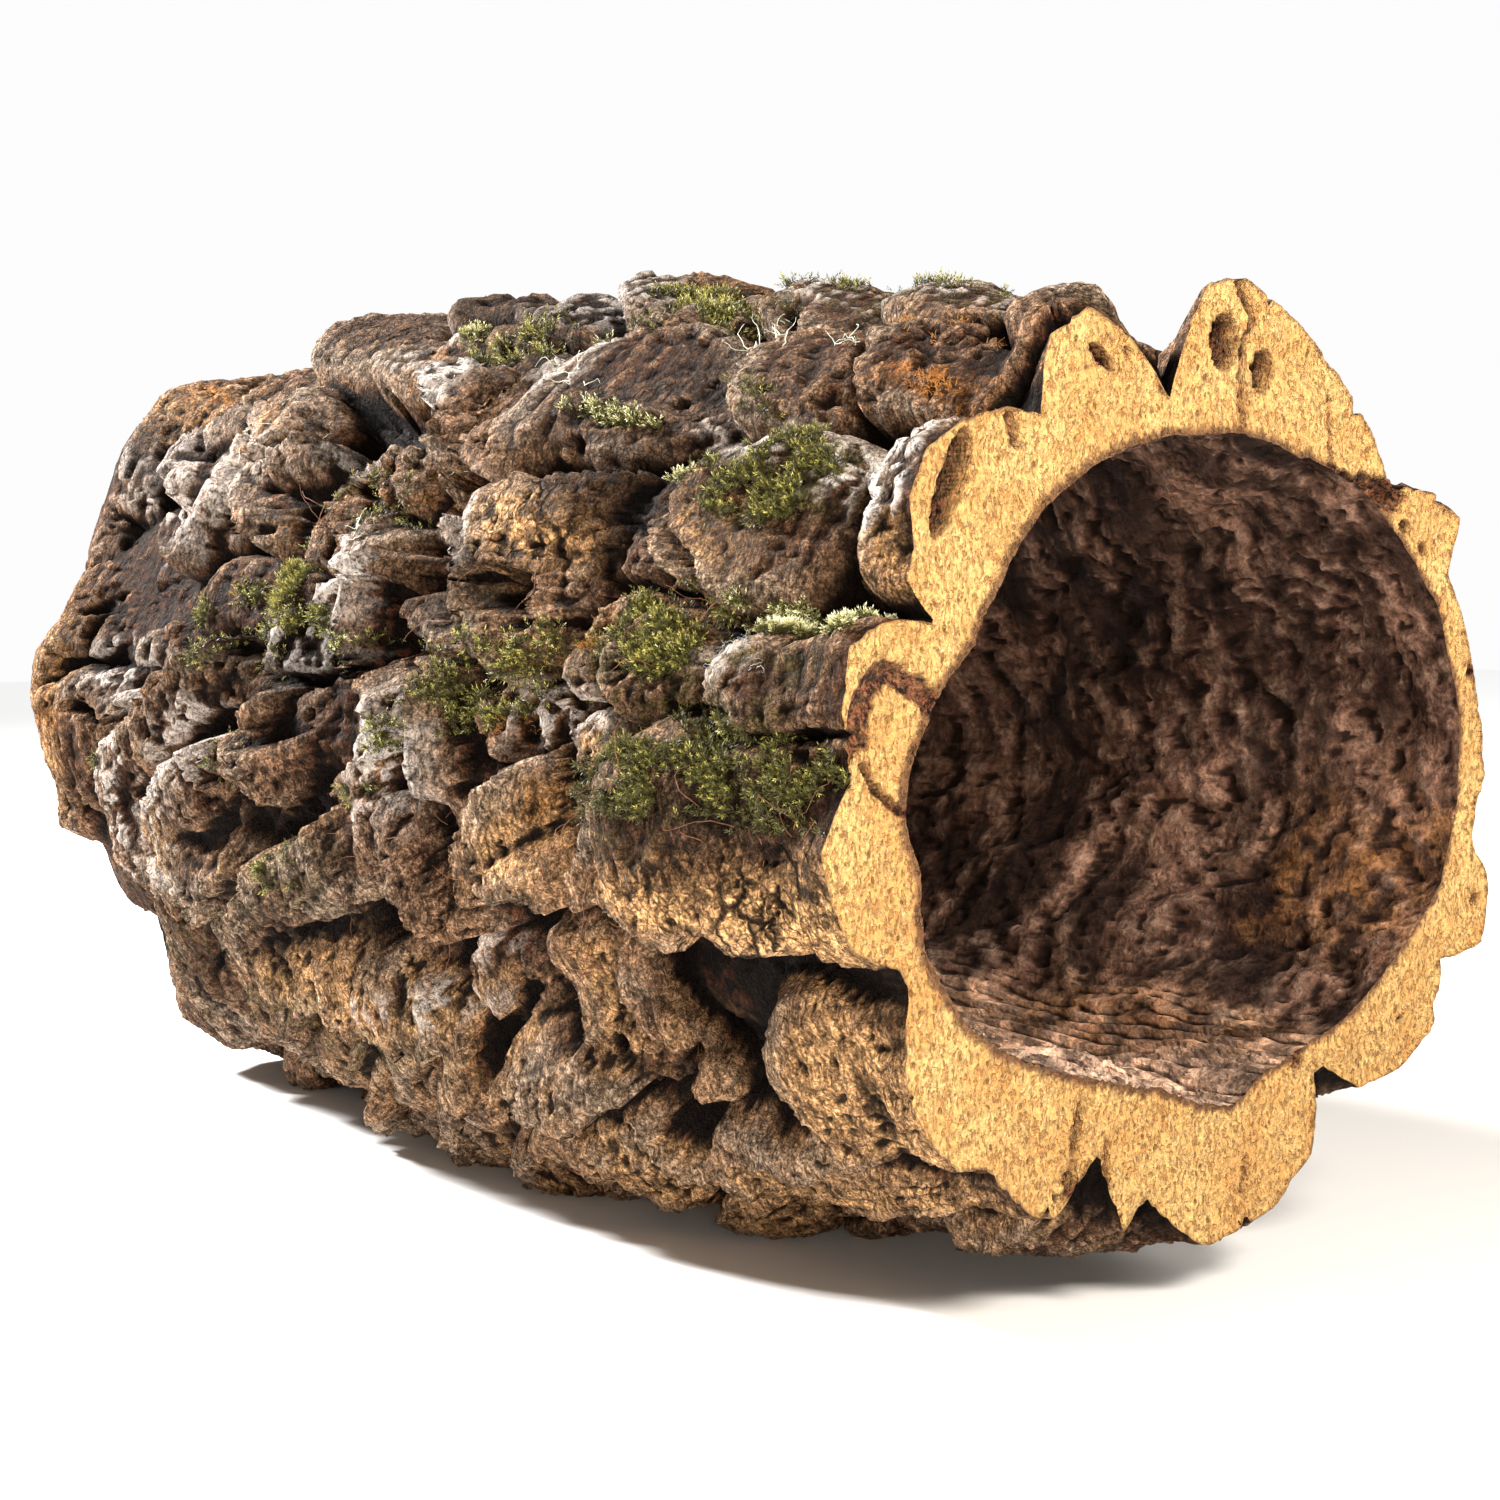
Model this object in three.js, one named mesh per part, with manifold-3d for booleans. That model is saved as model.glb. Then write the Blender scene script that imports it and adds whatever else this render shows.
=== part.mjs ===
// Hollow length of cork bark, sawn off at both ends, lying on its side, with moss cushions on it.
// Millimetres, +Z up. The tube runs along Y with the shown sawn face at the -Y end. The origin is at
// the middle of the underside, on the surface that the bark rests on.
//
// A place on the bark is given as (s, phi): s in mm from the front sawn face, and phi in degrees
// around the hollow's axis, 0 at +X, 90 on top, 180 at -X and 270 underneath.

import * as THREE from 'three';
import { mergeVertices } from 'three/addons/utils/BufferGeometryUtils.js';
import Module from 'manifold-3d';

// Driving dimensions
const LENGTH = 380; // from sawn face to sawn face
const AXIS_HEIGHT = 111; // of the hollow's axis above the surface that the bark rests on
const UNROLL_RADIUS = 106; // radius at which sizes around the tube are measured
const RELIEF = 24; // from the crown of a plain lobe down to the floor of a gap
const MIN_WALL = 7; // thinnest wall left under a gap
const BORE_RADIUS = 73; // of the rough inside, past the front edge
const BORE_SHIFT = 3; // how far the inside lies to +X there
const BORE_BLEND = 90; // length over which the front outline of the hollow runs into the inside
const BORE_LUMPS_BLEND = 25; // length over which the inside becomes lumpy
const END_BLEND = 16; // length over which the sawn outlines run into the lobes
const REAR_BLEND = 34; // the same at the rear face
const REAR_ROUND = 3; // how far the rear face's outer edge is worn down
const REAR_ROUND_LENGTH = 9; // length over which it is worn
const LEAN_ALONG = 0.65; // how far the gaps undercut the lobes' rear edges, per mm of depth
const LEAN_DOWN = 0.25; // how far the gaps undercut the lobes' lower edges, per mm of depth
const LEAN_BLEND = 60; // length at both ends over which the undercutting begins
const LOBE_SPREAD = 1.04; // how far neighbouring lobes run into each other
const CREST_SHIFT = 0.24; // how much higher a lobe stands at its rear than at its middle
const FOLD_EDGE = 5; // over which a fold's sharp edge drops off
const FOLD_GAP = 12; // width of the gap behind a fold's edge
const FOLD_GAP_DEPTH = 12; // depth of that gap right behind the edge
const FOLD_GAP_START = 3; // distance behind the edge over which the gap gets to its full depth
const FOLD_TAPER = 0.2; // share of a fold's length over which its gap ends
const FOLD_FACE_CURVE = 2.2; // how square the rounding of a fold's face is
const LOBE_PLAN = 2.4; // how square a lobe's outline is: 2 would be an ellipse
const LOBE_FLATNESS = 7; // how flat the top of a lobe is: 2 would be round all over
const LOBE_EDGE = 0.42; // how a lobe rises from its outline: 0.5 would be a quarter circle
const LOBE_SINK = 7; // how much lower the lobes stand where folds cover them
const GAP_FLOOR = 6; // height at which the floor between the lobes lies
const GAP_FLOOR_LUMPS = 2; // how far that floor goes up and down
const MOSS_GAP = 0.5; // clear space between the bark and a moss cushion, measured outwards
const MOSS_HEIGHT = 5; // from the bark to the tips of the moss
const CUSHION_REACH = 22; // how far a cushion's ellipsoid reaches in and out from its middle
const CUSHION_DEPTH = 4; // depth of that middle under the crowns of the lobes
const MERGE_DISTANCE = 1e-4;

const BARK_COLOUR = 0x5a4230;
const MOSS_COLOUR = 0x5c6b22;

// Mesh fineness
const STEPS_AROUND = 90;
const ROWS_OUTSIDE = 31;
const ROWS_INSIDE = 7;
const ROWS_ON_FACE = 2;
const ELLIPSOID_STEPS = 10;
const ELLIPSOID_ROWS = 6;

// Crown radius over the lobes: one line per place along the tube, one column per place around it
const GIRTH_PHI = [0, 30, 60, 90, 120, 150, 180, 210, 240, 255, 270, 300, 330, 360];
const GIRTH_S = [0, 60, 120, 180, 240, 300, 380];
const GIRTH = [
  [94, 97, 92, 97, 92, 88, 90, 90, 96, 98, 100, 95, 101, 94],
  [98, 98, 96, 101, 98, 95, 97, 97, 104, 107, 106, 100, 102, 98],
  [100, 100, 100, 106, 103, 99, 100, 102, 115, 120, 114, 104, 104, 100],
  [100, 102, 104, 108, 106, 101, 100, 103, 116, 119, 114, 105, 104, 100],
  [100, 102, 104, 107, 105, 100, 98, 100, 114, 117, 114, 105, 104, 100],
  [98, 100, 104, 107, 101, 94, 95, 98, 110, 114, 113, 104, 102, 98],
  [94, 96, 98, 101, 96, 85, 89, 88, 104, 109, 109, 100, 98, 94],
];

// Outline of the front sawn face, (phi, radius), with the notches between the lobes
const FRONT_OUTLINE = [
  [4, 95], [10, 92], [22, 87], [27, 94], [31, 101], [36, 97], [43, 86], [50, 90], [62, 94],
  [72, 99], [80, 102], [86, 99], [90, 86], [93, 75], [96, 81], [100, 88], [106, 96], [113, 94],
  [119, 82], [123, 86], [130, 91], [137, 93], [143, 90], [148, 84], [152, 82], [155, 73],
  [158, 84], [163, 90], [171, 89], [179, 86], [187, 94], [193, 93], [199, 91], [203, 86],
  [206, 80], [211, 84], [217, 91], [223, 95], [231, 96], [239, 93], [245, 95], [249, 94],
  [251, 87], [254, 80], [257, 86], [261, 94], [265, 89], [269, 93], [275, 100], [287, 99],
  [291, 96], [296, 94], [299, 87], [303, 76], [308, 91], [316, 98], [324, 101], [331, 94],
  [336, 106], [343, 103], [351, 93], [357, 97],
];

// Outline of the rear sawn face, on the side where its edge shows
const REAR_OUTLINE = [
  [70, 98], [98, 103], [116, 105], [127, 99], [135, 92], [150, 84], [162, 86], [169, 91],
  [177, 92], [186, 89], [197, 87], [204, 90], [211, 81], [222, 80], [231, 82], [238, 90],
  [245, 104], [256, 108], [275, 106],
];

// Outline of the hollow at the front face, (phi, radius)
const BORE_OUTLINE = [
  [2, 88], [20, 86], [32, 83], [46, 79], [62, 73], [74, 71], [82, 69], [98, 67], [124, 65],
  [143, 62], [155, 62], [168, 68], [178, 72], [186, 73], [194, 71], [205, 75], [220, 74],
  [238, 68], [250, 65], [266, 65], [276, 70], [283, 73], [292, 70], [304, 72], [316, 77],
  [328, 81], [341, 87],
];

// Part of the shown side where folds cover the lobes: behind FRONT and between TOP and BOTTOM
const FOLDED_FRONT = 70;
const FOLDED_FRONT_BLEND = 25;
const FOLDED_TOP = 112;
const FOLDED_TOP_BLEND = 12;
const FOLDED_BOTTOM = 238;
const FOLDED_BOTTOM_BLEND = 14;

// Angles between which the rear face's edge shows
const REAR_FROM = 70;
const REAR_TO = 275;
const REAR_SIDE_BLEND = 20;

// Place where the rear edge of the big lobe at the front stands upright
const UPRIGHT_S = 50;
const UPRIGHT_PHI = 214;
const UPRIGHT_REACH = 50;
const UPRIGHT_CORE = 1.2; // minus the distance in reaches: 1 or more is upright all the way

// Waves: size, cycles around the tube, turn in radians for each mm along it, start
const WANDER_ALONG = [[2.4, 11, 0.031, 0], [1.3, 23, -0.083, 1]];
const WANDER_AROUND = [[1.3, 5, 0.093, 0], [-0.7, 13, -0.21, 0]];
const BORE_LUMPS = [[2.2, 5, 0.02, 0], [1.6, 9, -0.045, 2], [1.4, 3, 0.06, 0], [1.2, 14, 0.09, 0]];

const lobes = [];
const furrows = [];
const hollows = [];
const folds = [];

// A lobe's half-lengths are in mm, its turn in degrees from the tube's length towards +phi, and its
// crown is how far it stands over the girth.
function lobe(s, phi, along, around, turn = 0, crown = 0) {
  lobes.push({
    s,
    phi,
    along: along * LOBE_SPREAD,
    around: around * LOBE_SPREAD,
    turn: THREE.MathUtils.degToRad(turn),
    crown,
  });
}

function furrow(depth, halfWidth, ...points) {
  furrows.push({ depth, halfWidth, points });
}

function hollow(s, phi, along, around, depth) {
  hollows.push({ s, phi, along, around, depth });
}

// A fold's points run along its sharp edge, and its face lies to the front and above them
function fold(crown, width, ...points) {
  folds.push({ crown, width, points });
}

// Lobes at the sawn front, which run along the tube
lobe(2, 143, 17, 24, 0, -2);
lobe(43, 146, 28, 27);
lobe(62, 121, 21, 20);
lobe(28, 116, 24, 22, 0, -2);
lobe(10, 101, 16, 16);
lobe(45, 101, 24, 17);
lobe(85, 101, 22, 18);
lobe(16, 167, 26, 14);
lobe(20, 189, 54, 30, 0, 2);
lobe(60, 168, 14, 14, 0, -2);
lobe(78, 165, 10, 14, 0, -1);
lobe(9, 223, 34, 31, 0, -1);
lobe(30, 240, 60, 17, 0, -2);
lobe(5, 256, 32, 16);

// Lobes of the middle of the shown side, from the top down
lobe(138, 101, 21, 16, 0, 3);
lobe(175, 104, 18, 16);
lobe(106, 125, 27, 24, 0, 2);
lobe(143, 134, 20, 14, -15, -3);
lobe(172, 127, 23, 24, 0, -1);
lobe(118, 149, 23, 21, 0, 2);
lobe(82, 148, 18, 20, 0, -5);
lobe(160, 147, 18, 14, 0, -4);
lobe(184, 160, 13, 24, 0, -3);
lobe(147, 164, 13, 20, 0, -4);
lobe(123, 165, 14, 13, 0, -5);
lobe(118, 178, 15, 14, 0, -4);
lobe(98, 177, 12, 14, 0, -5);
lobe(84, 178, 11, 12, 0, -4);
lobe(137, 183, 11, 20, 0, -3);
lobe(158, 184, 10, 22, 0, -2);
lobe(95, 191, 31, 19);
lobe(132, 197, 17, 12, 0, -5);
lobe(99, 214, 20, 28, 0, -4);
lobe(73, 217, 10, 30, 0, -4);
lobe(141, 221, 17, 24, 0, -4);
lobe(165, 214, 12, 12, 0, -6);
lobe(110, 240, 24, 19, 0, -3);
lobe(80, 251, 30, 15, 0, -3);

// Lobes and draped folds of the rear of the shown side
lobe(212, 102, 21, 16, 0, 4);
lobe(245, 112, 16, 14, 0, -2);
lobe(282, 100, 26, 24, 0, 4);
lobe(330, 108, 18, 18, 0, -4);
lobe(362, 122, 20, 34, 0, 1);
lobe(342, 133, 12, 28, 0, -4);
lobe(316, 136, 14, 26, 0, -3);
lobe(290, 136, 13, 26, 0, -3);
lobe(266, 137, 14, 22, 0, -3);
lobe(240, 141, 18, 11, 0, -5);
lobe(207, 149, 22, 18, 0, -3);
lobe(228, 163, 20, 20, 0, -4);
lobe(205, 178, 20, 18, 0, -5);
lobe(183, 192, 18, 16, 0, -6);
lobe(212, 197, 22, 16, 0, -4);
lobe(245, 180, 16, 20, 0, -4);
lobe(275, 158, 20, 17, 0, -4);
lobe(325, 152, 20, 14, 0, -6);
lobe(365, 158, 14, 20, 0, -4);
lobe(303, 169, 18, 16, 0, -4);
lobe(340, 166, 20, 16, 0, -5);
lobe(345, 186, 32, 34, 0, -1);
lobe(286, 193, 24, 27, 15, -3);
lobe(256, 197, 24, 22, 20, -1);
lobe(207, 217, 44, 22, -22, -2);

// Rolls of the lower skirt, which hang round the tube
lobe(330, 226, 20, 28, 0, -6);
lobe(291, 226, 17, 30, 0, -5);
lobe(256, 232, 17, 26, 0, -3);
lobe(221, 240, 17, 22);
lobe(190, 244, 14, 20);
lobe(160, 245, 16, 18);
lobe(362, 244, 18, 20);

// A repeatable scatter value from 0 to 1 for the lobe with this number
function scatter(number) {
  const value = Math.sin(number * 12.9898 + 4.1414) * 43758.5453;
  return value - Math.floor(value);
}

// Lobes of the far side and the underside, in bands around the tube: long ones near the front,
// short draped ones to the rear
const FAR_BAND_FIRST = 270;
const FAR_BAND_STEP = 22;
const FAR_BANDS = 8;
const FAR_START = -6; // where the first lobe of a band begins, at the latest
const FAR_START_RANGE = 14;
const FAR_FRONT_REACH = 200; // how far to the rear the long lobes of the front go
const FAR_ALONG = 17;
const FAR_ALONG_FRONT = 14;
const FAR_ALONG_RANGE = 6;
const FAR_AROUND = 25;
const FAR_AROUND_FRONT = -4;
const FAR_AROUND_RANGE = 5;
const FAR_PHI_RANGE = 7;
const FAR_TURN_RANGE = 24;
const FAR_CROWN_LOWEST = -3;
const FAR_CROWN_RANGE = 5;
const FAR_OVERLAP = 0.8; // share of a lobe's length that stays clear of the next
for (let band = 0; band < FAR_BANDS; band += 1) {
  let s = FAR_START - FAR_START_RANGE * scatter(band + 50);
  let number = band * 20;
  while (s < LENGTH + 10) {
    const frontness = THREE.MathUtils.clamp(1 - s / FAR_FRONT_REACH, 0, 1);
    const along = FAR_ALONG + FAR_ALONG_FRONT * frontness + FAR_ALONG_RANGE * scatter(number);
    const around = FAR_AROUND + FAR_AROUND_FRONT * frontness
      + FAR_AROUND_RANGE * scatter(number + 300);
    const moved = FAR_PHI_RANGE * (scatter(number + 600) - 0.5);
    const turn = FAR_TURN_RANGE * (scatter(number + 900) - 0.5);
    const crown = FAR_CROWN_LOWEST + FAR_CROWN_RANGE * scatter(number + 1200);
    const phi = (FAR_BAND_FIRST + band * FAR_BAND_STEP + moved) % 360;
    lobe(s + along * FAR_OVERLAP, phi, along, around, turn, crown);
    s += 2 * along * FAR_OVERLAP;
    number += 1;
  }
}

// Folds of the shown side
fold(1, 30, [62, 180], [70, 183], [78, 187], [84, 192], [81, 197], [62, 198]);
fold(1, 24, [113, 185], [119, 188], [123, 194], [122, 198], [107, 199], [87, 199]);
fold(2, 26, [130, 112], [137, 116], [140, 120], [138, 126], [136, 130], [141, 134], [147, 136],
  [153, 138], [146, 141]);
fold(2, 24, [114, 141], [127, 142], [136, 146], [138, 150], [136, 154], [131, 158], [126, 162]);
fold(1, 16, [187, 110], [214, 110], [216, 115], [204, 122], [189, 128]);
fold(0, 12, [151, 120], [157, 126], [159, 130], [157, 136]);
fold(0, 12, [178, 124], [182, 128], [178, 132], [175, 136]);
fold(0, 20, [182, 137], [199, 138], [202, 142], [204, 146], [199, 150], [188, 154]);
fold(0, 12, [148, 149], [162, 150], [169, 154], [176, 158], [181, 162], [179, 165], [174, 169],
  [167, 173], [160, 176]);
fold(-4, 8, [153, 151], [159, 154], [160, 158], [156, 162], [147, 165], [139, 167]);
fold(-2, 10, [185, 156], [194, 158], [194, 160], [187, 163]);
fold(0, 12, [160, 175], [166, 179], [167, 183], [173, 186]);
fold(-1, 10, [146, 172], [145, 177], [144, 183]);
fold(0, 16, [164, 190], [162, 194], [153, 198], [148, 203]);
fold(-1, 10, [231, 177], [232, 181], [221, 184], [220, 188]);
fold(0, 18, [291, 117], [296, 122], [294, 128], [280, 135], [272, 140], [262, 146]);
fold(0, 14, [251, 132], [264, 134], [273, 136], [272, 139], [262, 145]);
fold(-1, 12, [302, 124], [306, 129], [302, 133], [296, 138], [298, 140], [301, 143], [308, 147]);
fold(-1, 14, [313, 120], [338, 122], [345, 128], [343, 132], [330, 136]);
fold(3, 22, [226, 181], [245, 182], [262, 186], [278, 188], [285, 191], [288, 196], [286, 200],
  [279, 203], [268, 206], [251, 208]);
fold(2, 24, [272, 172], [288, 178], [305, 182], [315, 186], [321, 191], [324, 196], [321, 201],
  [310, 204], [300, 208], [289, 210], [273, 212], [256, 211]);
fold(-2, 14, [302, 176], [320, 178], [330, 182], [329, 186], [318, 186]);
fold(3, 28, [202, 194], [223, 198], [237, 204], [251, 209], [257, 214], [254, 219], [238, 222],
  [213, 223], [191, 223]);
fold(1, 20, [176, 222], [172, 225], [168, 228], [157, 231], [138, 231], [118, 229]);
fold(-5, 18, [285, 213], [291, 220], [296, 228], [302, 238], [306, 250]);
fold(-5, 18, [250, 223], [251, 228], [256, 238], [262, 252]);
fold(-4, 18, [202, 224], [208, 229], [217, 237], [224, 252]);
fold(-4, 16, [172, 229], [178, 233], [186, 240], [192, 252]);
fold(-6, 18, [330, 211], [336, 222], [340, 234], [342, 248]);

// Creases between the lobes
furrow(9, 5, [92, 105], [85, 112], [78, 126], [71, 137], [66, 145], [57, 153], [48, 158]);
furrow(6, 5, [-6, 157], [20, 159], [60, 158]);
furrow(11, 6, [-6, 206], [30, 206], [60, 204], [74, 199], [95, 203], [120, 203]);
furrow(7, 4, [22, 136], [15, 150], [2, 158]);
furrow(7, 4, [-6, 93], [34, 94]);
furrow(7, 4, [-6, 304], [40, 303]);
furrow(5, 4, [-6, 249], [26, 249]);

// Hollows where no lobe closes over, on the shown side
hollow(209, 130, 21, 13, 25);
hollow(238, 129, 14, 10, 21);
hollow(170, 163, 6, 14, 12);
hollow(158, 153, 7, 11, 13);
hollow(120, 158, 7, 7, 13);
hollow(45, 209, 12, 16, 22);
hollow(56, 231, 8, 6, 9);
hollow(190, 207, 9, 8, 14);
hollow(170, 208, 14, 6, 13);
hollow(153, 226, 6, 10, 13);
hollow(123, 207, 9, 9, 9);
hollow(120, 216, 6, 12, 8);
hollow(92, 235, 10, 7, 12);
hollow(78, 224, 6, 7, 8);
hollow(321, 181, 8, 9, 12);
hollow(245, 187, 6, 8, 7);
hollow(70, 32, 13, 9, 14);
hollow(175, 350, 10, 14, 13);
hollow(250, 52, 15, 9, 14);
hollow(300, 318, 9, 13, 12);
hollow(110, 300, 12, 8, 10);

function smooth(t) {
  const x = THREE.MathUtils.clamp(t, 0, 1);
  return x * x * (3 - 2 * x);
}

function wrapDegrees(angle) {
  return ((((angle + 180) % 360) + 360) % 360) - 180;
}

function arcLength(degrees) {
  return THREE.MathUtils.degToRad(degrees) * UNROLL_RADIUS;
}

// Value of an outline at phi: straight between its points, going round past 360
function alongOutline(outline, phi) {
  const angle = ((phi % 360) + 360) % 360;
  let [beforePhi, before] = outline[outline.length - 1];
  beforePhi -= 360;
  for (const [afterPhi, after] of outline) {
    if (angle <= afterPhi) {
      return before + ((after - before) * (angle - beforePhi)) / (afterPhi - beforePhi);
    }
    beforePhi = afterPhi;
    before = after;
  }
  const [firstPhi, first] = outline[0];
  return before + ((first - before) * (angle - beforePhi)) / (firstPhi + 360 - beforePhi);
}

function girth(s, phi) {
  const angle = ((phi % 360) + 360) % 360;
  let column = 0;
  while (angle > GIRTH_PHI[column + 1]) column += 1;
  let row = 0;
  while (row < GIRTH_S.length - 2 && s > GIRTH_S[row + 1]) row += 1;
  const across = smooth((angle - GIRTH_PHI[column]) / (GIRTH_PHI[column + 1] - GIRTH_PHI[column]));
  const down = smooth((s - GIRTH_S[row]) / (GIRTH_S[row + 1] - GIRTH_S[row]));
  const near = GIRTH[row][column] * (1 - across) + GIRTH[row][column + 1] * across;
  const far = GIRTH[row + 1][column] * (1 - across) + GIRTH[row + 1][column + 1] * across;
  return near * (1 - down) + far * down;
}

function waves(list, s, phi) {
  const round = THREE.MathUtils.degToRad(phi);
  return list.reduce((sum, [size, cycles, turn, start]) => (
    sum + size * Math.sin(cycles * round + turn * s + start)
  ), 0);
}

// The lobes' edges wander: the place that is asked for is moved a little before it is looked up
function wander(s, phi) {
  return [s + waves(WANDER_ALONG, s, phi), phi + waves(WANDER_AROUND, s, phi)];
}

function lobeHeight(s, phi) {
  const lumps = Math.sin(0.31 * s) * Math.sin(THREE.MathUtils.degToRad(19 * phi));
  let best = GAP_FLOOR + GAP_FLOOR_LUMPS * lumps;
  for (const one of lobes) {
    const u = s - one.s;
    const v = arcLength(wrapDegrees(phi - one.phi));
    const p = (u * Math.cos(one.turn) + v * Math.sin(one.turn)) / one.along;
    const q = (-u * Math.sin(one.turn) + v * Math.cos(one.turn)) / one.around;
    if (Math.abs(p) < 1 && Math.abs(q) < 1) {
      const r = (Math.abs(p) ** LOBE_PLAN + Math.abs(q) ** LOBE_PLAN) ** (1 / LOBE_PLAN);
      const crown = (RELIEF + one.crown) * (1 + CREST_SHIFT * p);
      if (r < 1) best = Math.max(best, crown * (1 - r ** LOBE_FLATNESS) ** LOBE_EDGE);
    }
  }
  return best;
}

// The place nearest to (s, phi) on a line of points: its distance, how far along the line it is as a
// share, and the side that (s, phi) lies on, positive to the front of a line that goes down
function nearestOn(points, s, phi) {
  const nearest = { distance: Infinity, side: 0, along: 0 };
  for (let k = 0; k + 1 < points.length; k += 1) {
    const [s0, phi0] = points[k];
    const [s1, phi1] = points[k + 1];
    const du = s1 - s0;
    const dv = arcLength(phi1 - phi0);
    const u = s - s0;
    const v = arcLength(wrapDegrees(phi - phi0));
    const t = THREE.MathUtils.clamp((u * du + v * dv) / (du * du + dv * dv), 0, 1);
    const distance = Math.hypot(u - t * du, v - t * dv);
    if (distance < nearest.distance) {
      nearest.distance = distance;
      nearest.side = du * (v - t * dv) - dv * (u - t * du);
      nearest.along = (k + t) / (points.length - 1);
    }
  }
  return nearest;
}

// Height of the highest fold here, and the depth of the gaps behind the folds' edges
function foldHeight(s, phi) {
  let best = 0;
  let gap = 0;
  for (const one of folds) {
    const { distance, side, along } = nearestOn(one.points, s, phi);
    const share = side > 0
      ? (distance / one.width) ** FOLD_FACE_CURVE
      : (distance / FOLD_EDGE) ** 2;
    if (share < 1) best = Math.max(best, (RELIEF + one.crown) * Math.sqrt(1 - share));
    if (side <= 0 && distance < FOLD_GAP) {
      const ends = smooth(along / FOLD_TAPER) * smooth((1 - along) / FOLD_TAPER);
      const fade = ends * smooth(distance / FOLD_GAP_START);
      gap = Math.max(gap, FOLD_GAP_DEPTH * fade * (1 - distance / FOLD_GAP));
    }
  }
  return [best, gap];
}

function furrowDepth(s, phi) {
  let deepest = 0;
  for (const one of furrows) {
    const { distance } = nearestOn(one.points, s, phi);
    deepest = Math.max(deepest, one.depth * (1 - distance / one.halfWidth));
  }
  return deepest;
}

function hollowDepth(s, phi) {
  let deepest = 0;
  for (const one of hollows) {
    const p = (s - one.s) / one.along;
    const q = arcLength(wrapDegrees(phi - one.phi)) / one.around;
    const r2 = p * p + q * q;
    if (r2 < 1) deepest = Math.max(deepest, one.depth * Math.sqrt(1 - r2));
  }
  return deepest;
}

// Radius of the rough inside
function boreRadius(s, phi) {
  const inside = BORE_RADIUS + BORE_SHIFT * Math.cos(THREE.MathUtils.degToRad(phi));
  const lumps = waves(BORE_LUMPS, s, phi) * smooth(s / BORE_LUMPS_BLEND);
  return THREE.MathUtils.lerp(alongOutline(BORE_OUTLINE, phi), inside, smooth(s / BORE_BLEND)) + lumps;
}

// 1 on the middle and rear of the shown side, where folds cover the lobes, and 0 elsewhere
function foldedShare(s, phi) {
  return smooth((s - FOLDED_FRONT) / FOLDED_FRONT_BLEND)
    * smooth((phi - FOLDED_TOP) / FOLDED_TOP_BLEND)
    * smooth((FOLDED_BOTTOM - phi) / FOLDED_BOTTOM_BLEND);
}

function lobedRadius(s, phi) {
  const [movedS, movedPhi] = wander(s, phi);
  const [folded, gap] = foldHeight(movedS, movedPhi);
  const lobed = lobeHeight(movedS, movedPhi) - LOBE_SINK * foldedShare(movedS, movedPhi);
  const height = Math.max(lobed, folded) - gap;
  return girth(s, phi) - RELIEF + height - furrowDepth(movedS, movedPhi) - hollowDepth(movedS, movedPhi);
}

function barkRadius(s, phi) {
  let radius = lobedRadius(s, phi);
  const front = 1 - smooth(s / END_BLEND);
  if (front > 0) radius += (alongOutline(FRONT_OUTLINE, phi) - lobedRadius(0, phi)) * front;
  const rear = 1 - smooth((LENGTH - s) / REAR_BLEND);
  if (rear > 0 && phi > REAR_FROM && phi < REAR_TO) {
    const share = smooth((phi - REAR_FROM) / REAR_SIDE_BLEND) * smooth((REAR_TO - phi) / REAR_SIDE_BLEND);
    radius += (alongOutline(REAR_OUTLINE, phi) - radius) * rear * share;
  }
  radius -= REAR_ROUND * (1 - smooth((LENGTH - s) / REAR_ROUND_LENGTH));
  return Math.max(radius, boreRadius(s, phi) + MIN_WALL);
}

function place(s, phi, radius) {
  const round = THREE.MathUtils.degToRad(phi);
  return new THREE.Vector3(
    radius * Math.cos(round),
    s - LENGTH / 2,
    Math.max(AXIS_HEIGHT + radius * Math.sin(round), 0),
  );
}

// A point of the outer skin. Away from the ends, what lies deep is moved to the front and upwards,
// so that the lobes overhang the gaps to their rear and below them.
function barkPoint(s, phi, proud = 0) {
  const radius = barkRadius(s, phi);
  const depth = girth(s, phi) - radius;
  const round = THREE.MathUtils.degToRad(phi);
  const free = smooth(s / LEAN_BLEND) * smooth((LENGTH - s) / LEAN_BLEND);
  const away = Math.hypot(s - UPRIGHT_S, arcLength(wrapDegrees(phi - UPRIGHT_PHI))) / UPRIGHT_REACH;
  const upright = smooth(UPRIGHT_CORE - away);
  const turned = phi + THREE.MathUtils.radToDeg((Math.cos(round) * free * LEAN_DOWN * depth) / UNROLL_RADIUS);
  return place(s - free * (LEAN_ALONG - upright) * depth, turned, radius + proud);
}

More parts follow.
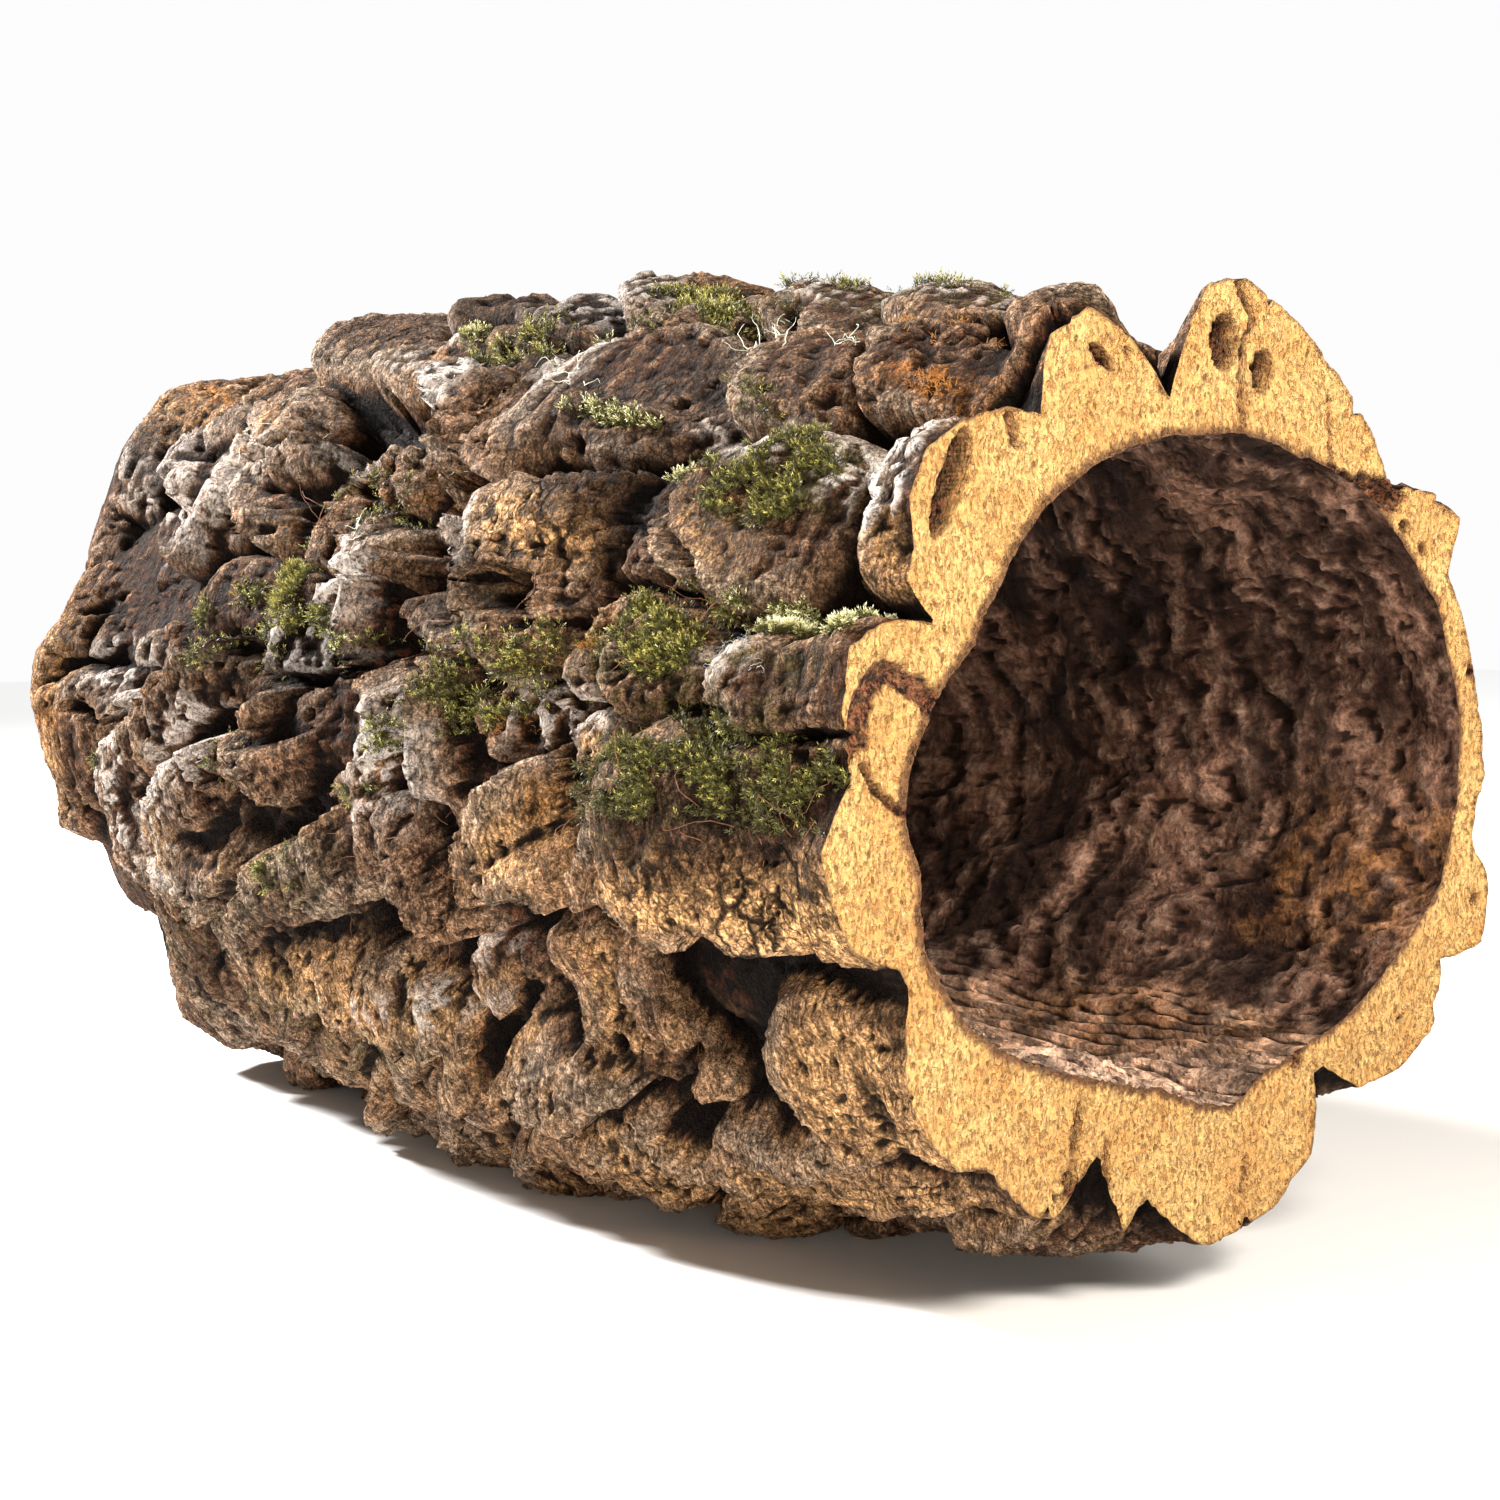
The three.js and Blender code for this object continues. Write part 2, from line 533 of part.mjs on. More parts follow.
// Closed skin of a tube: outside front to rear, rear face, inside rear to front, front face
function tubeGeometry(proud = 0) {
  const positions = [];
  const rows = [];
  const addRow = (pointAt) => {
    const row = [];
    for (let k = 0; k < STEPS_AROUND; k += 1) {
      row.push(positions.length / 3);
      positions.push(...pointAt((360 * k) / STEPS_AROUND).toArray());
    }
    rows.push(row);
  };
  for (let k = 0; k <= ROWS_OUTSIDE; k += 1) {
    const s = (LENGTH * k) / ROWS_OUTSIDE;
    addRow((phi) => barkPoint(s, phi, proud));
  }
  const innerRow = (s) => addRow((phi) => place(s, phi, boreRadius(s, phi)));
  for (let k = 0; k <= ROWS_INSIDE; k += 1) innerRow(LENGTH * (1 - k / ROWS_INSIDE));
  for (let k = 1; k < ROWS_ON_FACE; k += 1) {
    const share = k / ROWS_ON_FACE;
    addRow((phi) => place(0, phi, boreRadius(0, phi)).lerp(barkPoint(0, phi, proud), share));
  }
  const index = [];
  for (let r = 0; r < rows.length; r += 1) {
    const here = rows[r];
    const next = rows[(r + 1) % rows.length];
    for (let k = 0; k < STEPS_AROUND; k += 1) {
      const after = (k + 1) % STEPS_AROUND;
      index.push(here[k], next[k], here[after], here[after], next[k], next[after]);
    }
  }
  const geometry = new THREE.BufferGeometry();
  geometry.setAttribute('position', new THREE.Float32BufferAttribute(positions, 3));
  geometry.setIndex(index);
  return geometry;
}

const wasm = await Module();
wasm.setup();

function solidOf(geometry) {
  const bare = geometry.clone();
  bare.deleteAttribute('normal');
  bare.deleteAttribute('uv');
  const merged = mergeVertices(bare, MERGE_DISTANCE);
  return new wasm.Manifold(new wasm.Mesh({
    numProp: 3,
    vertProperties: new Float32Array(merged.attributes.position.array),
    triVerts: new Uint32Array(merged.index.array),
  }));
}

function geometryOf(solid) {
  const mesh = solid.getMesh();
  const geometry = new THREE.BufferGeometry();
  geometry.setAttribute('position', new THREE.Float32BufferAttribute(mesh.vertProperties, 3));
  geometry.setIndex(new THREE.BufferAttribute(mesh.triVerts, 1));
  return geometry;
}

// An ellipsoid on the tube at (s, phi, radius), with half-lengths outwards, along and around the
// tube, turned about the tube's length by lean degrees
function ellipsoid(s, phi, radius, outwards, along, around, lean = 0) {
  const geometry = new THREE.SphereGeometry(1, ELLIPSOID_STEPS, ELLIPSOID_ROWS);
  geometry.scale(outwards, along, around);
  geometry.rotateY(-THREE.MathUtils.degToRad(phi + lean));
  const round = THREE.MathUtils.degToRad(phi);
  geometry.translate(radius * Math.cos(round), s - LENGTH / 2, AXIS_HEIGHT + radius * Math.sin(round));
  return solidOf(geometry);
}

// Holes in the front sawn face: (phi, radius, half-length outwards, half-width around, depth, lean)
const FACE_HOLES = [
  [82, 88, 5.8, 4, 12, 0],
  [74, 85, 4.5, 3.2, 12, 0],
  [137, 84, 11, 3.2, 14, -68],
  [105, 85.5, 3.8, 1.7, 7, 38],
];

function barkSolid() {
  let solid = solidOf(tubeGeometry());
  for (const [phi, radius, outwards, around, depth, lean] of FACE_HOLES) {
    solid = solid.subtract(ellipsoid(0, phi, radius, outwards, depth, around, lean));
  }
  return solid;
}

function matt(color, roughness) {
  return new THREE.MeshStandardMaterial({ color, roughness, metalness: 0 });
}

const part = new THREE.Group();

const bark = barkSolid();
const tube = new THREE.Mesh(geometryOf(bark), matt(BARK_COLOUR, 0.9));
tube.name = 'cork_tube';
part.add(tube);

// Moss cushions: what lies between the bark and the moss tips, inside an ellipsoid round the place.
// The bark moved to the rear and down, and to the front, keeps the gap at overhanging edges.
const grownBark = solidOf(tubeGeometry(MOSS_GAP));
const keptClear = wasm.Manifold.union([
  grownBark,
  bark,
  bark.translate([0, MOSS_GAP, -MOSS_GAP]),
  bark.translate([0, -MOSS_GAP, 0]),
  bark.translate([0, MOSS_GAP, MOSS_GAP]),
]);
const mossTips = solidOf(tubeGeometry(MOSS_HEIGHT));
function mossCushion(name, s, phi, along, around) {
  const bounds = ellipsoid(s, phi, girth(s, phi) - CUSHION_DEPTH, CUSHION_REACH, along, around);
  const pieces = mossTips.intersect(bounds).subtract(keptClear).decompose();
  const largest = pieces.reduce((best, one) => (one.volume() > best.volume() ? one : best));
  const mesh = new THREE.Mesh(geometryOf(largest), matt(MOSS_COLOUR, 1));
  mesh.name = name;
  part.add(mesh);
}

mossCushion('moss_main', 38, 178, 43, 11);
mossCushion('moss_patch', 57, 162, 25, 12);
mossCushion('moss_upper', 42, 140, 22, 15);
mossCushion('moss_middle', 120, 170, 27, 12);
mossCushion('moss_rear', 237, 158, 13, 24);
mossCushion('moss_crest', 118, 103, 26, 12);
mossCushion('moss_crest_rear', 188, 114, 16, 9);

export default part;
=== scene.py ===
"""Hollow length of cork bark with moss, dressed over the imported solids.

Lengths are in mm until a mesh is made. A place on the bark is (s, phi): s in mm from the front sawn
face, and phi in degrees around the hollow's axis, 0 at +X, 90 on top, 180 at -X and 270 underneath.
"""

import math

import bpy
import numpy as np
from mathutils import Matrix, Vector


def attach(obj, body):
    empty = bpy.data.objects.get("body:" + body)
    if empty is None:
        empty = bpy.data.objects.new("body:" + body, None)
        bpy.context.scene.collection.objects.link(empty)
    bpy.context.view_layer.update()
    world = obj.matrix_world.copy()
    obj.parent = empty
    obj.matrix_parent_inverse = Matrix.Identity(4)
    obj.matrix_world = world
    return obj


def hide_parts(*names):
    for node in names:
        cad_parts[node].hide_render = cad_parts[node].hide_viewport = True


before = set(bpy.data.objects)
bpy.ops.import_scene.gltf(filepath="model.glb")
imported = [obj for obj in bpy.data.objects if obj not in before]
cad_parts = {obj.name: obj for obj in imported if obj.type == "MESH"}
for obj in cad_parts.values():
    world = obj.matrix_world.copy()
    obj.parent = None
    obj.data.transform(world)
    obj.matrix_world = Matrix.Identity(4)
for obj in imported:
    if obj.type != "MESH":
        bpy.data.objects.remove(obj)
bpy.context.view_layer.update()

MM = 0.001

# Driving dimensions, as in the solids
LENGTH = 380.0
AXIS_HEIGHT = 111.0
UNROLL_RADIUS = 106.0
RELIEF = 24.0
MIN_WALL = 7.0
BORE_RADIUS = 73.0
BORE_SHIFT = 3.0
BORE_BLEND = 90.0
BORE_LUMPS_BLEND = 25.0
END_BLEND = 16.0
REAR_BLEND = 34.0
REAR_ROUND = 3.0
REAR_ROUND_LENGTH = 9.0
LEAN_ALONG = 0.65
LEAN_DOWN = 0.25
LEAN_BLEND = 60.0
LOBE_SPREAD = 1.04
CREST_SHIFT = 0.24
LOBE_PLAN = 2.4
LOBE_FLATNESS = 7.0
LOBE_EDGE = 0.42
LOBE_SINK = 7.0
GAP_FLOOR = 6.0
GAP_FLOOR_LUMPS = 2.0
FOLD_GAP_START = 3.0
FOLD_TAPER = 0.2
FOLD_FACE_CURVE = 2.2

# Where folds cover the lobes, and where the rear outline can be seen
FOLDED_FRONT = 70.0
FOLDED_FRONT_BLEND = 25.0
FOLDED_TOP = 112.0
FOLDED_TOP_BLEND = 12.0
FOLDED_BOTTOM = 238.0
FOLDED_BOTTOM_BLEND = 14.0
REAR_FROM = 70.0
REAR_TO = 275.0
REAR_SIDE_BLEND = 20.0

# The hollow under the large front lobe, which isn't undercut
UPRIGHT_S = 50.0
UPRIGHT_PHI = 214.0
UPRIGHT_REACH = 50.0
UPRIGHT_CORE = 1.2

# Waves: (height, turns around the tube, turn per mm along it, start)
WANDER_ALONG = ((2.4, 11, 0.031, 0), (1.3, 23, -0.083, 1))
WANDER_AROUND = ((1.3, 5, 0.093, 0), (-0.7, 13, -0.21, 0))
BORE_LUMPS = ((2.2, 5, 0.02, 0), (1.6, 9, -0.045, 2), (1.4, 3, 0.06, 0), (1.2, 14, 0.09, 0))

# Sizes that are finer here than in the solids, or only here
CREASE_DEPTH = 6.0
CREASE_REACH = 8.0
FOLD_EDGE = 2.0
FOLD_GAP = 10.0
FOLD_GAP_DEPTH = 15.0
FOLD_COVERS = 3.0
HOLLOW_CREASE = 9.0
FAR_FROM = 58.0
FAR_TO = 284.0
FAR_BLEND = 16.0
FISSURE_DEPTH = 10.0
FISSURE_WIDTH = 0.13
PATCH_SINK = 4.5
DRAPED_FROM = 70.0
DRAPED_BLEND = 70.0
DRAPE_HEIGHT = 2.6
GRAIN_HEIGHT = 0.7
LEDGE_STEP = 7.5
LEDGE_HEIGHT = 2.4
TERRACE_STEP = 3.2
LUMP_HEIGHT = 1.1
FLAKE_HEIGHT = 2.4
CRUMB_HEIGHT = 0.7
GROWTH_LINE_STEP = 3.8
GROWTH_LINE_HEIGHT = 0.8
FINE_GRAIN_HEIGHT = 0.55
CRACK_DEPTH = 1.5
CRACK_WIDTH = 0.05
FLOOR_FROM = 212.0
FLOOR_TO = 322.0
FLOOR_BLEND = 25.0
FLOOR_REACH = 110.0
FLOOR_FADE = 80.0
CLOD_HEIGHT = 3.8
INSIDE_LUMP_HEIGHT = 1.1
STRATA_STEP = 4.8
STRATA_HEIGHT = 3.0
FACE_ROUGHNESS = 0.55
FACE_RIM_WIDTH = 0.8

# How ragged the edges of the smooth, coloured and other places are, and how large their middles
PLACE_RAGGED = 0.35
PLACE_CORE = 1.35

# Fineness of the meshes. The outside is two sheets that meet on top and underneath.
SEAM_TOP = 75.0
SEAM_UNDER = 270.0
STEPS_SHOWN = 350
STEPS_FAR = 300
ROWS_OUTSIDE = 283
ROWS_INSIDE = 148
INSIDE_ROW_CURVE = 1.25
ROWS_ON_FACE = 62
ROWS_ON_REAR = 14

# Crown radius over the lobes: a line per place along the tube, a column per place around it
GIRTH_PHI = np.array([0, 30, 60, 90, 120, 150, 180, 210, 240, 255, 270, 300, 330, 360], float)
GIRTH_S = np.array([0, 60, 120, 180, 240, 300, 380], float)
GIRTH = np.array([
    [94, 97, 92, 97, 92, 88, 90, 90, 96, 98, 100, 95, 101, 94],
    [98, 98, 96, 101, 98, 95, 97, 97, 104, 107, 106, 100, 102, 98],
    [100, 100, 100, 106, 103, 99, 100, 102, 115, 120, 114, 104, 104, 100],
    [100, 102, 104, 108, 106, 101, 100, 103, 116, 119, 114, 105, 104, 100],
    [100, 102, 104, 107, 105, 100, 98, 100, 114, 117, 114, 105, 104, 100],
    [98, 100, 104, 107, 101, 94, 95, 98, 110, 114, 113, 104, 102, 98],
    [94, 96, 98, 101, 96, 85, 89, 88, 104, 109, 109, 100, 98, 94],
], float)

# Outlines, as (phi, radius)
FRONT_OUTLINE = np.array([
    (4, 95), (10, 92), (22, 87), (27, 94), (31, 101), (36, 97), (43, 86), (50, 90), (62, 94), (72, 99),
    (80, 102), (86, 99), (90, 86), (93, 75), (96, 81), (100, 88), (106, 96), (113, 94), (119, 82),
    (123, 86), (130, 91), (137, 93), (143, 90), (148, 84), (152, 82), (155, 73), (158, 84), (163, 90),
    (171, 89), (179, 86), (187, 94), (193, 93), (199, 91), (203, 86), (206, 80), (211, 84), (217, 91),
    (223, 95), (231, 96), (239, 93), (245, 95), (249, 94), (251, 87), (254, 80), (257, 86), (261, 94),
    (265, 89), (269, 93), (275, 100), (287, 99), (291, 96), (296, 94), (299, 87), (303, 76), (308, 91),
    (316, 98), (324, 101), (331, 94), (336, 106), (343, 103), (351, 93), (357, 97),
], float)
REAR_OUTLINE = np.array([
    (70, 98), (98, 103), (116, 105), (127, 99), (135, 92), (150, 84), (162, 86), (169, 91), (177, 92),
    (186, 89), (197, 87), (204, 90), (211, 81), (222, 80), (231, 82), (238, 90), (245, 104), (256, 108),
    (275, 106),
], float)
BORE_OUTLINE = np.array([
    (2, 88), (20, 86), (32, 83), (46, 79), (62, 73), (74, 71), (82, 69), (98, 67), (124, 65), (143, 62),
    (155, 62), (168, 68), (178, 72), (186, 73), (194, 71), (205, 75), (220, 74), (238, 68), (250, 65),
    (266, 65), (276, 70), (283, 73), (292, 70), (304, 72), (316, 77), (328, 81), (341, 87),
], float)

# Holes in the front sawn face: (phi, radius, half-length outwards, half-width around, depth, tilt)
FACE_HOLES = (
    (82, 88, 5.8, 4, 12, 0), (74, 85, 4.5, 3.2, 12, 0), (137, 84, 11, 3.2, 14, -68),
    (105, 85.5, 3.8, 1.7, 7, 38),
)

# Lines in the front face: (depth, half-width, points as (x, height over the axis))
FACE_LINES = (
    (2.2, 2.6, ((-84, 9), (-83.5, 14), (-81.5, 19), (-78, 21.5), (-74, 20.5), (-70.5, 18.5), (-67, 16),
     (-63.5, 13))),
    (2.5, 1.2, ((-87, 4), (-84.5, 10), (-84, 15))),
    (2.5, 1, ((-82.5, 3.9), (-81, 1.6), (-79, -0.7), (-76.5, -2.9), (-74, -4.7), (-71, -5.6))),
    (4.5, 1.3, ((-26.5, -66), (-27, -69), (-27.9, -75), (-29.8, -84))),
    (3.5, 0.9, ((-18.8, -75), (-19, -80), (-19.3, -87))),
    (2.5, 0.8, ((21.7, -83), (21, -86), (20.8, -90))),
    (2.5, 1, ((15.6, 101), (20.8, 92), (18.2, 86.6), (17.1, 81), (17.6, 75), (17.6, 67))),
    (2, 0.8, ((44.3, 77), (44.4, 69), (45.9, 60))),
    (4, 3.4, ((45, 59.5), (52, 57.5), (58, 57.5), (65, 56))),
    (3, 1.2, ((-46.4, 70), (-45.2, 67.3), (-45, 65))),
    (3, 1.6, ((34, -57), (36, -61), (37, -64))),
)
# Small holes in the front face: (x, height over the axis, radius)
SMALL_FACE_HOLES = (
    (69, 50, 1.6), (75, 45, 1.4), (92, 18, 1.6), (96, -22, 1.5), (94, -33, 1.2), (-55, -76.8, 1.6),
    (78, -28, 1), (-33, -84, 1), (-78, 40, 0.9), (99, -18, 1), (70, -58, 0.9), (-15, 84, 1),
)

# Lobes: (s, phi, half-length along, half-length around, turn, height of the crown over a plain one).
# Those at the sawn front run along the tube.
FRONT_LOBES = (
    (2, 143, 17, 24, 0, -2), (43, 146, 28, 27), (62, 121, 21, 20), (28, 116, 24, 22, 0, -2),
    (10, 101, 16, 16), (45, 101, 24, 17), (85, 101, 22, 18), (16, 167, 26, 14), (20, 189, 54, 30, 0, 2),
    (60, 168, 14, 14, 0, -2), (78, 165, 10, 14, 0, -1), (9, 223, 34, 31, 0, -1),
    (30, 240, 60, 17, 0, -2), (5, 256, 32, 16),
)
# The middle of the shown side, from the top down
MIDDLE_LOBES = (
    (138, 101, 21, 16, 0, 3), (175, 104, 18, 16), (106, 125, 27, 24, 0, 2), (143, 134, 20, 14, -15, -3),
    (172, 127, 23, 24, 0, -1), (118, 149, 23, 21, 0, 2), (82, 148, 18, 20, 0, -5),
    (160, 147, 18, 14, 0, -4), (184, 160, 13, 24, 0, -3), (147, 164, 13, 20, 0, -4),
    (123, 165, 14, 13, 0, -5), (118, 178, 15, 14, 0, -4), (98, 177, 12, 14, 0, -5),
    (84, 178, 11, 12, 0, -4), (137, 183, 11, 20, 0, -3), (158, 184, 10, 22, 0, -2), (95, 191, 31, 19),
    (132, 197, 17, 12, 0, -5), (99, 214, 20, 28, 0, -4), (73, 217, 10, 30, 0, -4),
    (141, 221, 17, 24, 0, -4), (165, 214, 12, 12, 0, -6), (110, 240, 24, 19, 0, -3),
    (80, 251, 30, 15, 0, -3),
)
# The rear of the shown side
REAR_LOBES = (
    (212, 102, 21, 16, 0, 4), (245, 112, 16, 14, 0, -2), (282, 100, 26, 24, 0, 4),
    (330, 108, 18, 18, 0, -4), (362, 122, 20, 34, 0, 1), (342, 133, 12, 28, 0, -4),
    (316, 136, 14, 26, 0, -3), (290, 136, 13, 26, 0, -3), (266, 137, 14, 22, 0, -3),
    (240, 141, 18, 11, 0, -5), (207, 149, 22, 18, 0, -3), (228, 163, 20, 20, 0, -4),
    (205, 178, 20, 18, 0, -5), (183, 192, 18, 16, 0, -6), (212, 197, 22, 16, 0, -4),
    (245, 180, 16, 20, 0, -4), (275, 158, 20, 17, 0, -4), (325, 152, 20, 14, 0, -6),
    (365, 158, 14, 20, 0, -4), (303, 169, 18, 16, 0, -4), (340, 166, 20, 16, 0, -5),
    (345, 186, 32, 34, 0, -1), (286, 193, 24, 27, 15, -3), (256, 197, 24, 22, 20, -1),
    (207, 217, 44, 22, -22, -2),
)
# The rolls of the lower skirt, which hang round the tube
SKIRT_LOBES = (
    (330, 226, 20, 28, 0, -6), (291, 226, 17, 30, 0, -5), (256, 232, 17, 26, 0, -3), (221, 240, 17, 22),
    (190, 244, 14, 20), (160, 245, 16, 18), (362, 244, 18, 20),
)

# Lobes of the far side and the underside, in bands around the tube
FAR_BAND_FIRST = 270
FAR_BAND_STEP = 22
FAR_BANDS = 8
FAR_START = -6
FAR_START_RANGE = 14
FAR_FRONT_REACH = 200
FAR_ALONG = 17
FAR_ALONG_FRONT = 14
FAR_ALONG_RANGE = 6
FAR_AROUND = 25
FAR_AROUND_FRONT = -4
FAR_AROUND_RANGE = 5
FAR_PHI_RANGE = 7
FAR_TURN_RANGE = 24
FAR_CROWN_LOWEST = -3
FAR_CROWN_RANGE = 5
FAR_OVERLAP = 0.8

lobes = []


def lobe(s, phi, along, around, turn=0.0, crown=0.0):
    lobes.append((s, phi, along * LOBE_SPREAD, around * LOBE_SPREAD, math.radians(turn), crown))


def scatter(number):
    """A repeatable value from 0 to 1 for the lobe with this number."""
    value = math.sin(number * 12.9898 + 4.1414) * 43758.5453
    return value - math.floor(value)


for row in FRONT_LOBES + MIDDLE_LOBES + REAR_LOBES + SKIRT_LOBES:
    lobe(*row)
for band in range(FAR_BANDS):
    s = FAR_START - FAR_START_RANGE * scatter(band + 50)
    number = band * 20
    while s < LENGTH + 10:
        frontness = min(max(1 - s / FAR_FRONT_REACH, 0), 1)
        along = FAR_ALONG + FAR_ALONG_FRONT * frontness + FAR_ALONG_RANGE * scatter(number)
        around = FAR_AROUND + FAR_AROUND_FRONT * frontness + FAR_AROUND_RANGE * scatter(number + 300)
        phi = FAR_BAND_FIRST + band * FAR_BAND_STEP + FAR_PHI_RANGE * (scatter(number + 600) - 0.5)
        turn = FAR_TURN_RANGE * (scatter(number + 900) - 0.5)
        crown = FAR_CROWN_LOWEST + FAR_CROWN_RANGE * scatter(number + 1200)
        lobe(s + along * FAR_OVERLAP, phi % 360, along, around, turn, crown)
        s += along * 2 * FAR_OVERLAP
        number += 1

# Creases between the lobes: (depth, half-width, points)
FURROWS = (
    (9, 5, ((92, 105), (85, 112), (78, 126), (71, 137), (66, 145), (57, 153), (48, 158))),
    (6, 5, ((-6, 157), (20, 159), (60, 158))),
    (11, 6, ((-6, 206), (30, 206), (60, 204), (74, 199), (95, 203), (120, 203))),
    (7, 4, ((22, 136), (15, 150), (2, 158))),
    (7, 4, ((-6, 93), (34, 94))),
    (7, 4, ((-6, 304), (40, 303))),
    (5, 4, ((-6, 249), (26, 249))),
)

# Hollows where no lobe closes over: (s, phi, half-length along, half-length around, depth)
HOLLOWS = (
    (209, 130, 21, 13, 25), (238, 129, 14, 10, 21), (170, 163, 6, 14, 12), (158, 153, 7, 11, 13),
    (120, 158, 7, 7, 13), (45, 209, 12, 16, 22), (56, 231, 8, 6, 9), (190, 207, 9, 8, 14),
    (170, 208, 14, 6, 13), (153, 226, 6, 10, 13), (123, 207, 9, 9, 9), (120, 216, 6, 12, 8),
    (92, 235, 10, 7, 12), (78, 224, 6, 7, 8), (321, 181, 8, 9, 12), (245, 187, 6, 8, 7),
    (70, 32, 13, 9, 14), (175, 350, 10, 14, 13), (250, 52, 15, 9, 14), (300, 318, 9, 13, 12),
    (110, 300, 12, 8, 10),
)

# Folds: (height of the crown over a plain lobe, width, points). Each has a sharp edge along its points,
# and its face to the front and above them.
FOLDS = (
    (1, 30, ((62, 180), (70, 183), (78, 187), (84, 192), (81, 197), (62, 198))),
    (1, 24, ((113, 185), (119, 188), (123, 194), (122, 198), (107, 199), (87, 199))),
    (2, 26, ((130, 112), (137, 116), (140, 120), (138, 126), (136, 130), (141, 134), (147, 136),
     (153, 138), (146, 141))),
    (2, 24, ((114, 141), (127, 142), (136, 146), (138, 150), (136, 154), (131, 158), (126, 162))),
    (1, 16, ((187, 110), (214, 110), (216, 115), (204, 122), (189, 128))),
    (0, 12, ((151, 120), (157, 126), (159, 130), (157, 136))),
    (0, 12, ((178, 124), (182, 128), (178, 132), (175, 136))),
    (0, 20, ((182, 137), (199, 138), (202, 142), (204, 146), (199, 150), (188, 154))),
    (0, 12, ((148, 149), (162, 150), (169, 154), (176, 158), (181, 162), (179, 165), (174, 169),
     (167, 173), (160, 176))),
    (-4, 8, ((153, 151), (159, 154), (160, 158), (156, 162), (147, 165), (139, 167))),
    (-2, 10, ((185, 156), (194, 158), (194, 160), (187, 163))),
    (0, 12, ((160, 175), (166, 179), (167, 183), (173, 186))),
    (-1, 10, ((146, 172), (145, 177), (144, 183))),
    (0, 16, ((164, 190), (162, 194), (153, 198), (148, 203))),
    (-1, 10, ((231, 177), (232, 181), (221, 184), (220, 188))),
    (0, 18, ((291, 117), (296, 122), (294, 128), (280, 135), (272, 140), (262, 146))),
    (0, 14, ((251, 132), (264, 134), (273, 136), (272, 139), (262, 145))),
    (-1, 12, ((302, 124), (306, 129), (302, 133), (296, 138), (298, 140), (301, 143), (308, 147))),
    (-1, 14, ((313, 120), (338, 122), (345, 128), (343, 132), (330, 136))),
    (3, 22, ((226, 181), (245, 182), (262, 186), (278, 188), (285, 191), (288, 196), (286, 200),
     (279, 203), (268, 206), (251, 208))),
    (2, 24, ((272, 172), (288, 178), (305, 182), (315, 186), (321, 191), (324, 196), (321, 201),
     (310, 204), (300, 208), (289, 210), (273, 212), (256, 211))),
    (-2, 14, ((302, 176), (320, 178), (330, 182), (329, 186), (318, 186))),
    (3, 28, ((202, 194), (223, 198), (237, 204), (251, 209), (257, 214), (254, 219), (238, 222),
     (213, 223), (191, 223))),
    (1, 20, ((176, 222), (172, 225), (168, 228), (157, 231), (138, 231), (118, 229))),
    (-5, 18, ((285, 213), (291, 220), (296, 228), (302, 238), (306, 250))),
    (-5, 18, ((250, 223), (251, 228), (256, 238), (262, 252))),
    (-4, 18, ((202, 224), (208, 229), (217, 237), (224, 252))),
    (-4, 16, ((172, 229), (178, 233), (186, 240), (192, 252))),
    (-6, 18, ((330, 211), (336, 222), (340, 234), (342, 248))),
)

# Low raised lines: (height, half-width, points)
RIBS = (
    (2.5, 3, ((100, 131), (114, 130), (121, 130), (123, 133))),
    (3, 3, ((104, 171), (92, 175), (98, 181))),
    (3, 3.5, ((252, 150), (246, 162), (250, 172))),
    (2.5, 3, ((276, 214), (270, 226), (262, 240))),
    (2.5, 3, ((240, 224), (234, 236), (228, 250))),
    (2.5, 3, ((317, 212), (314, 226), (310, 244))),
)

# Narrow grooves and gaps, finer than the solids: (depth, half-width, points)
GROOVES = (
    (10, 3.6, ((265, 210), (276, 217), (290, 224), (298, 234))),
    (10, 3.6, ((236, 222), (252, 229), (275, 238), (284, 246))),
    (10, 3.6, ((168, 224), (182, 230), (197, 237), (206, 246))),
    (8, 3, ((300, 214), (312, 222), (322, 232), (328, 244))),
    (8, 3, ((206, 224), (226, 232), (240, 240))),
    (9, 3.6, ((170, 147), (165, 152), (162, 158))),
    (9, 3.6, ((128, 156), (120, 158), (113, 161))),
    (10, 4, ((190, 207), (179, 210), (164, 214))),
    (10, 4, ((139, 216), (146, 224), (164, 236))),
    (7, 3, ((357, 178), (348, 183), (336, 187))),
    (7, 2.6, ((320, 150), (340, 156), (362, 158))),
    (7, 2.6, ((296, 150), (310, 160), (330, 168), (352, 170))),
    (6, 2.4, ((230, 146), (246, 152), (262, 150), (280, 148))),
    (6, 2.4, ((196, 166), (214, 172), (236, 171), (256, 168))),
    (6, 2.2, ((70, 152), (84, 158), (96, 156), (106, 160))),
)

# Small deep holes: (s, phi, radius, depth), and how many more are scattered
NAMED_PITS = (
    (137, 152, 2.3, 7), (335, 133, 3.5, 8), (41, 168, 1.6, 4), (93, 180, 2.6, 5), (64, 181, 3, 5),
    (128, 172, 2.2, 5), (300, 176, 2.5, 5), (196, 143, 2.2, 4), (72, 168, 2.6, 6),
)
SCATTERED_PITS = 240

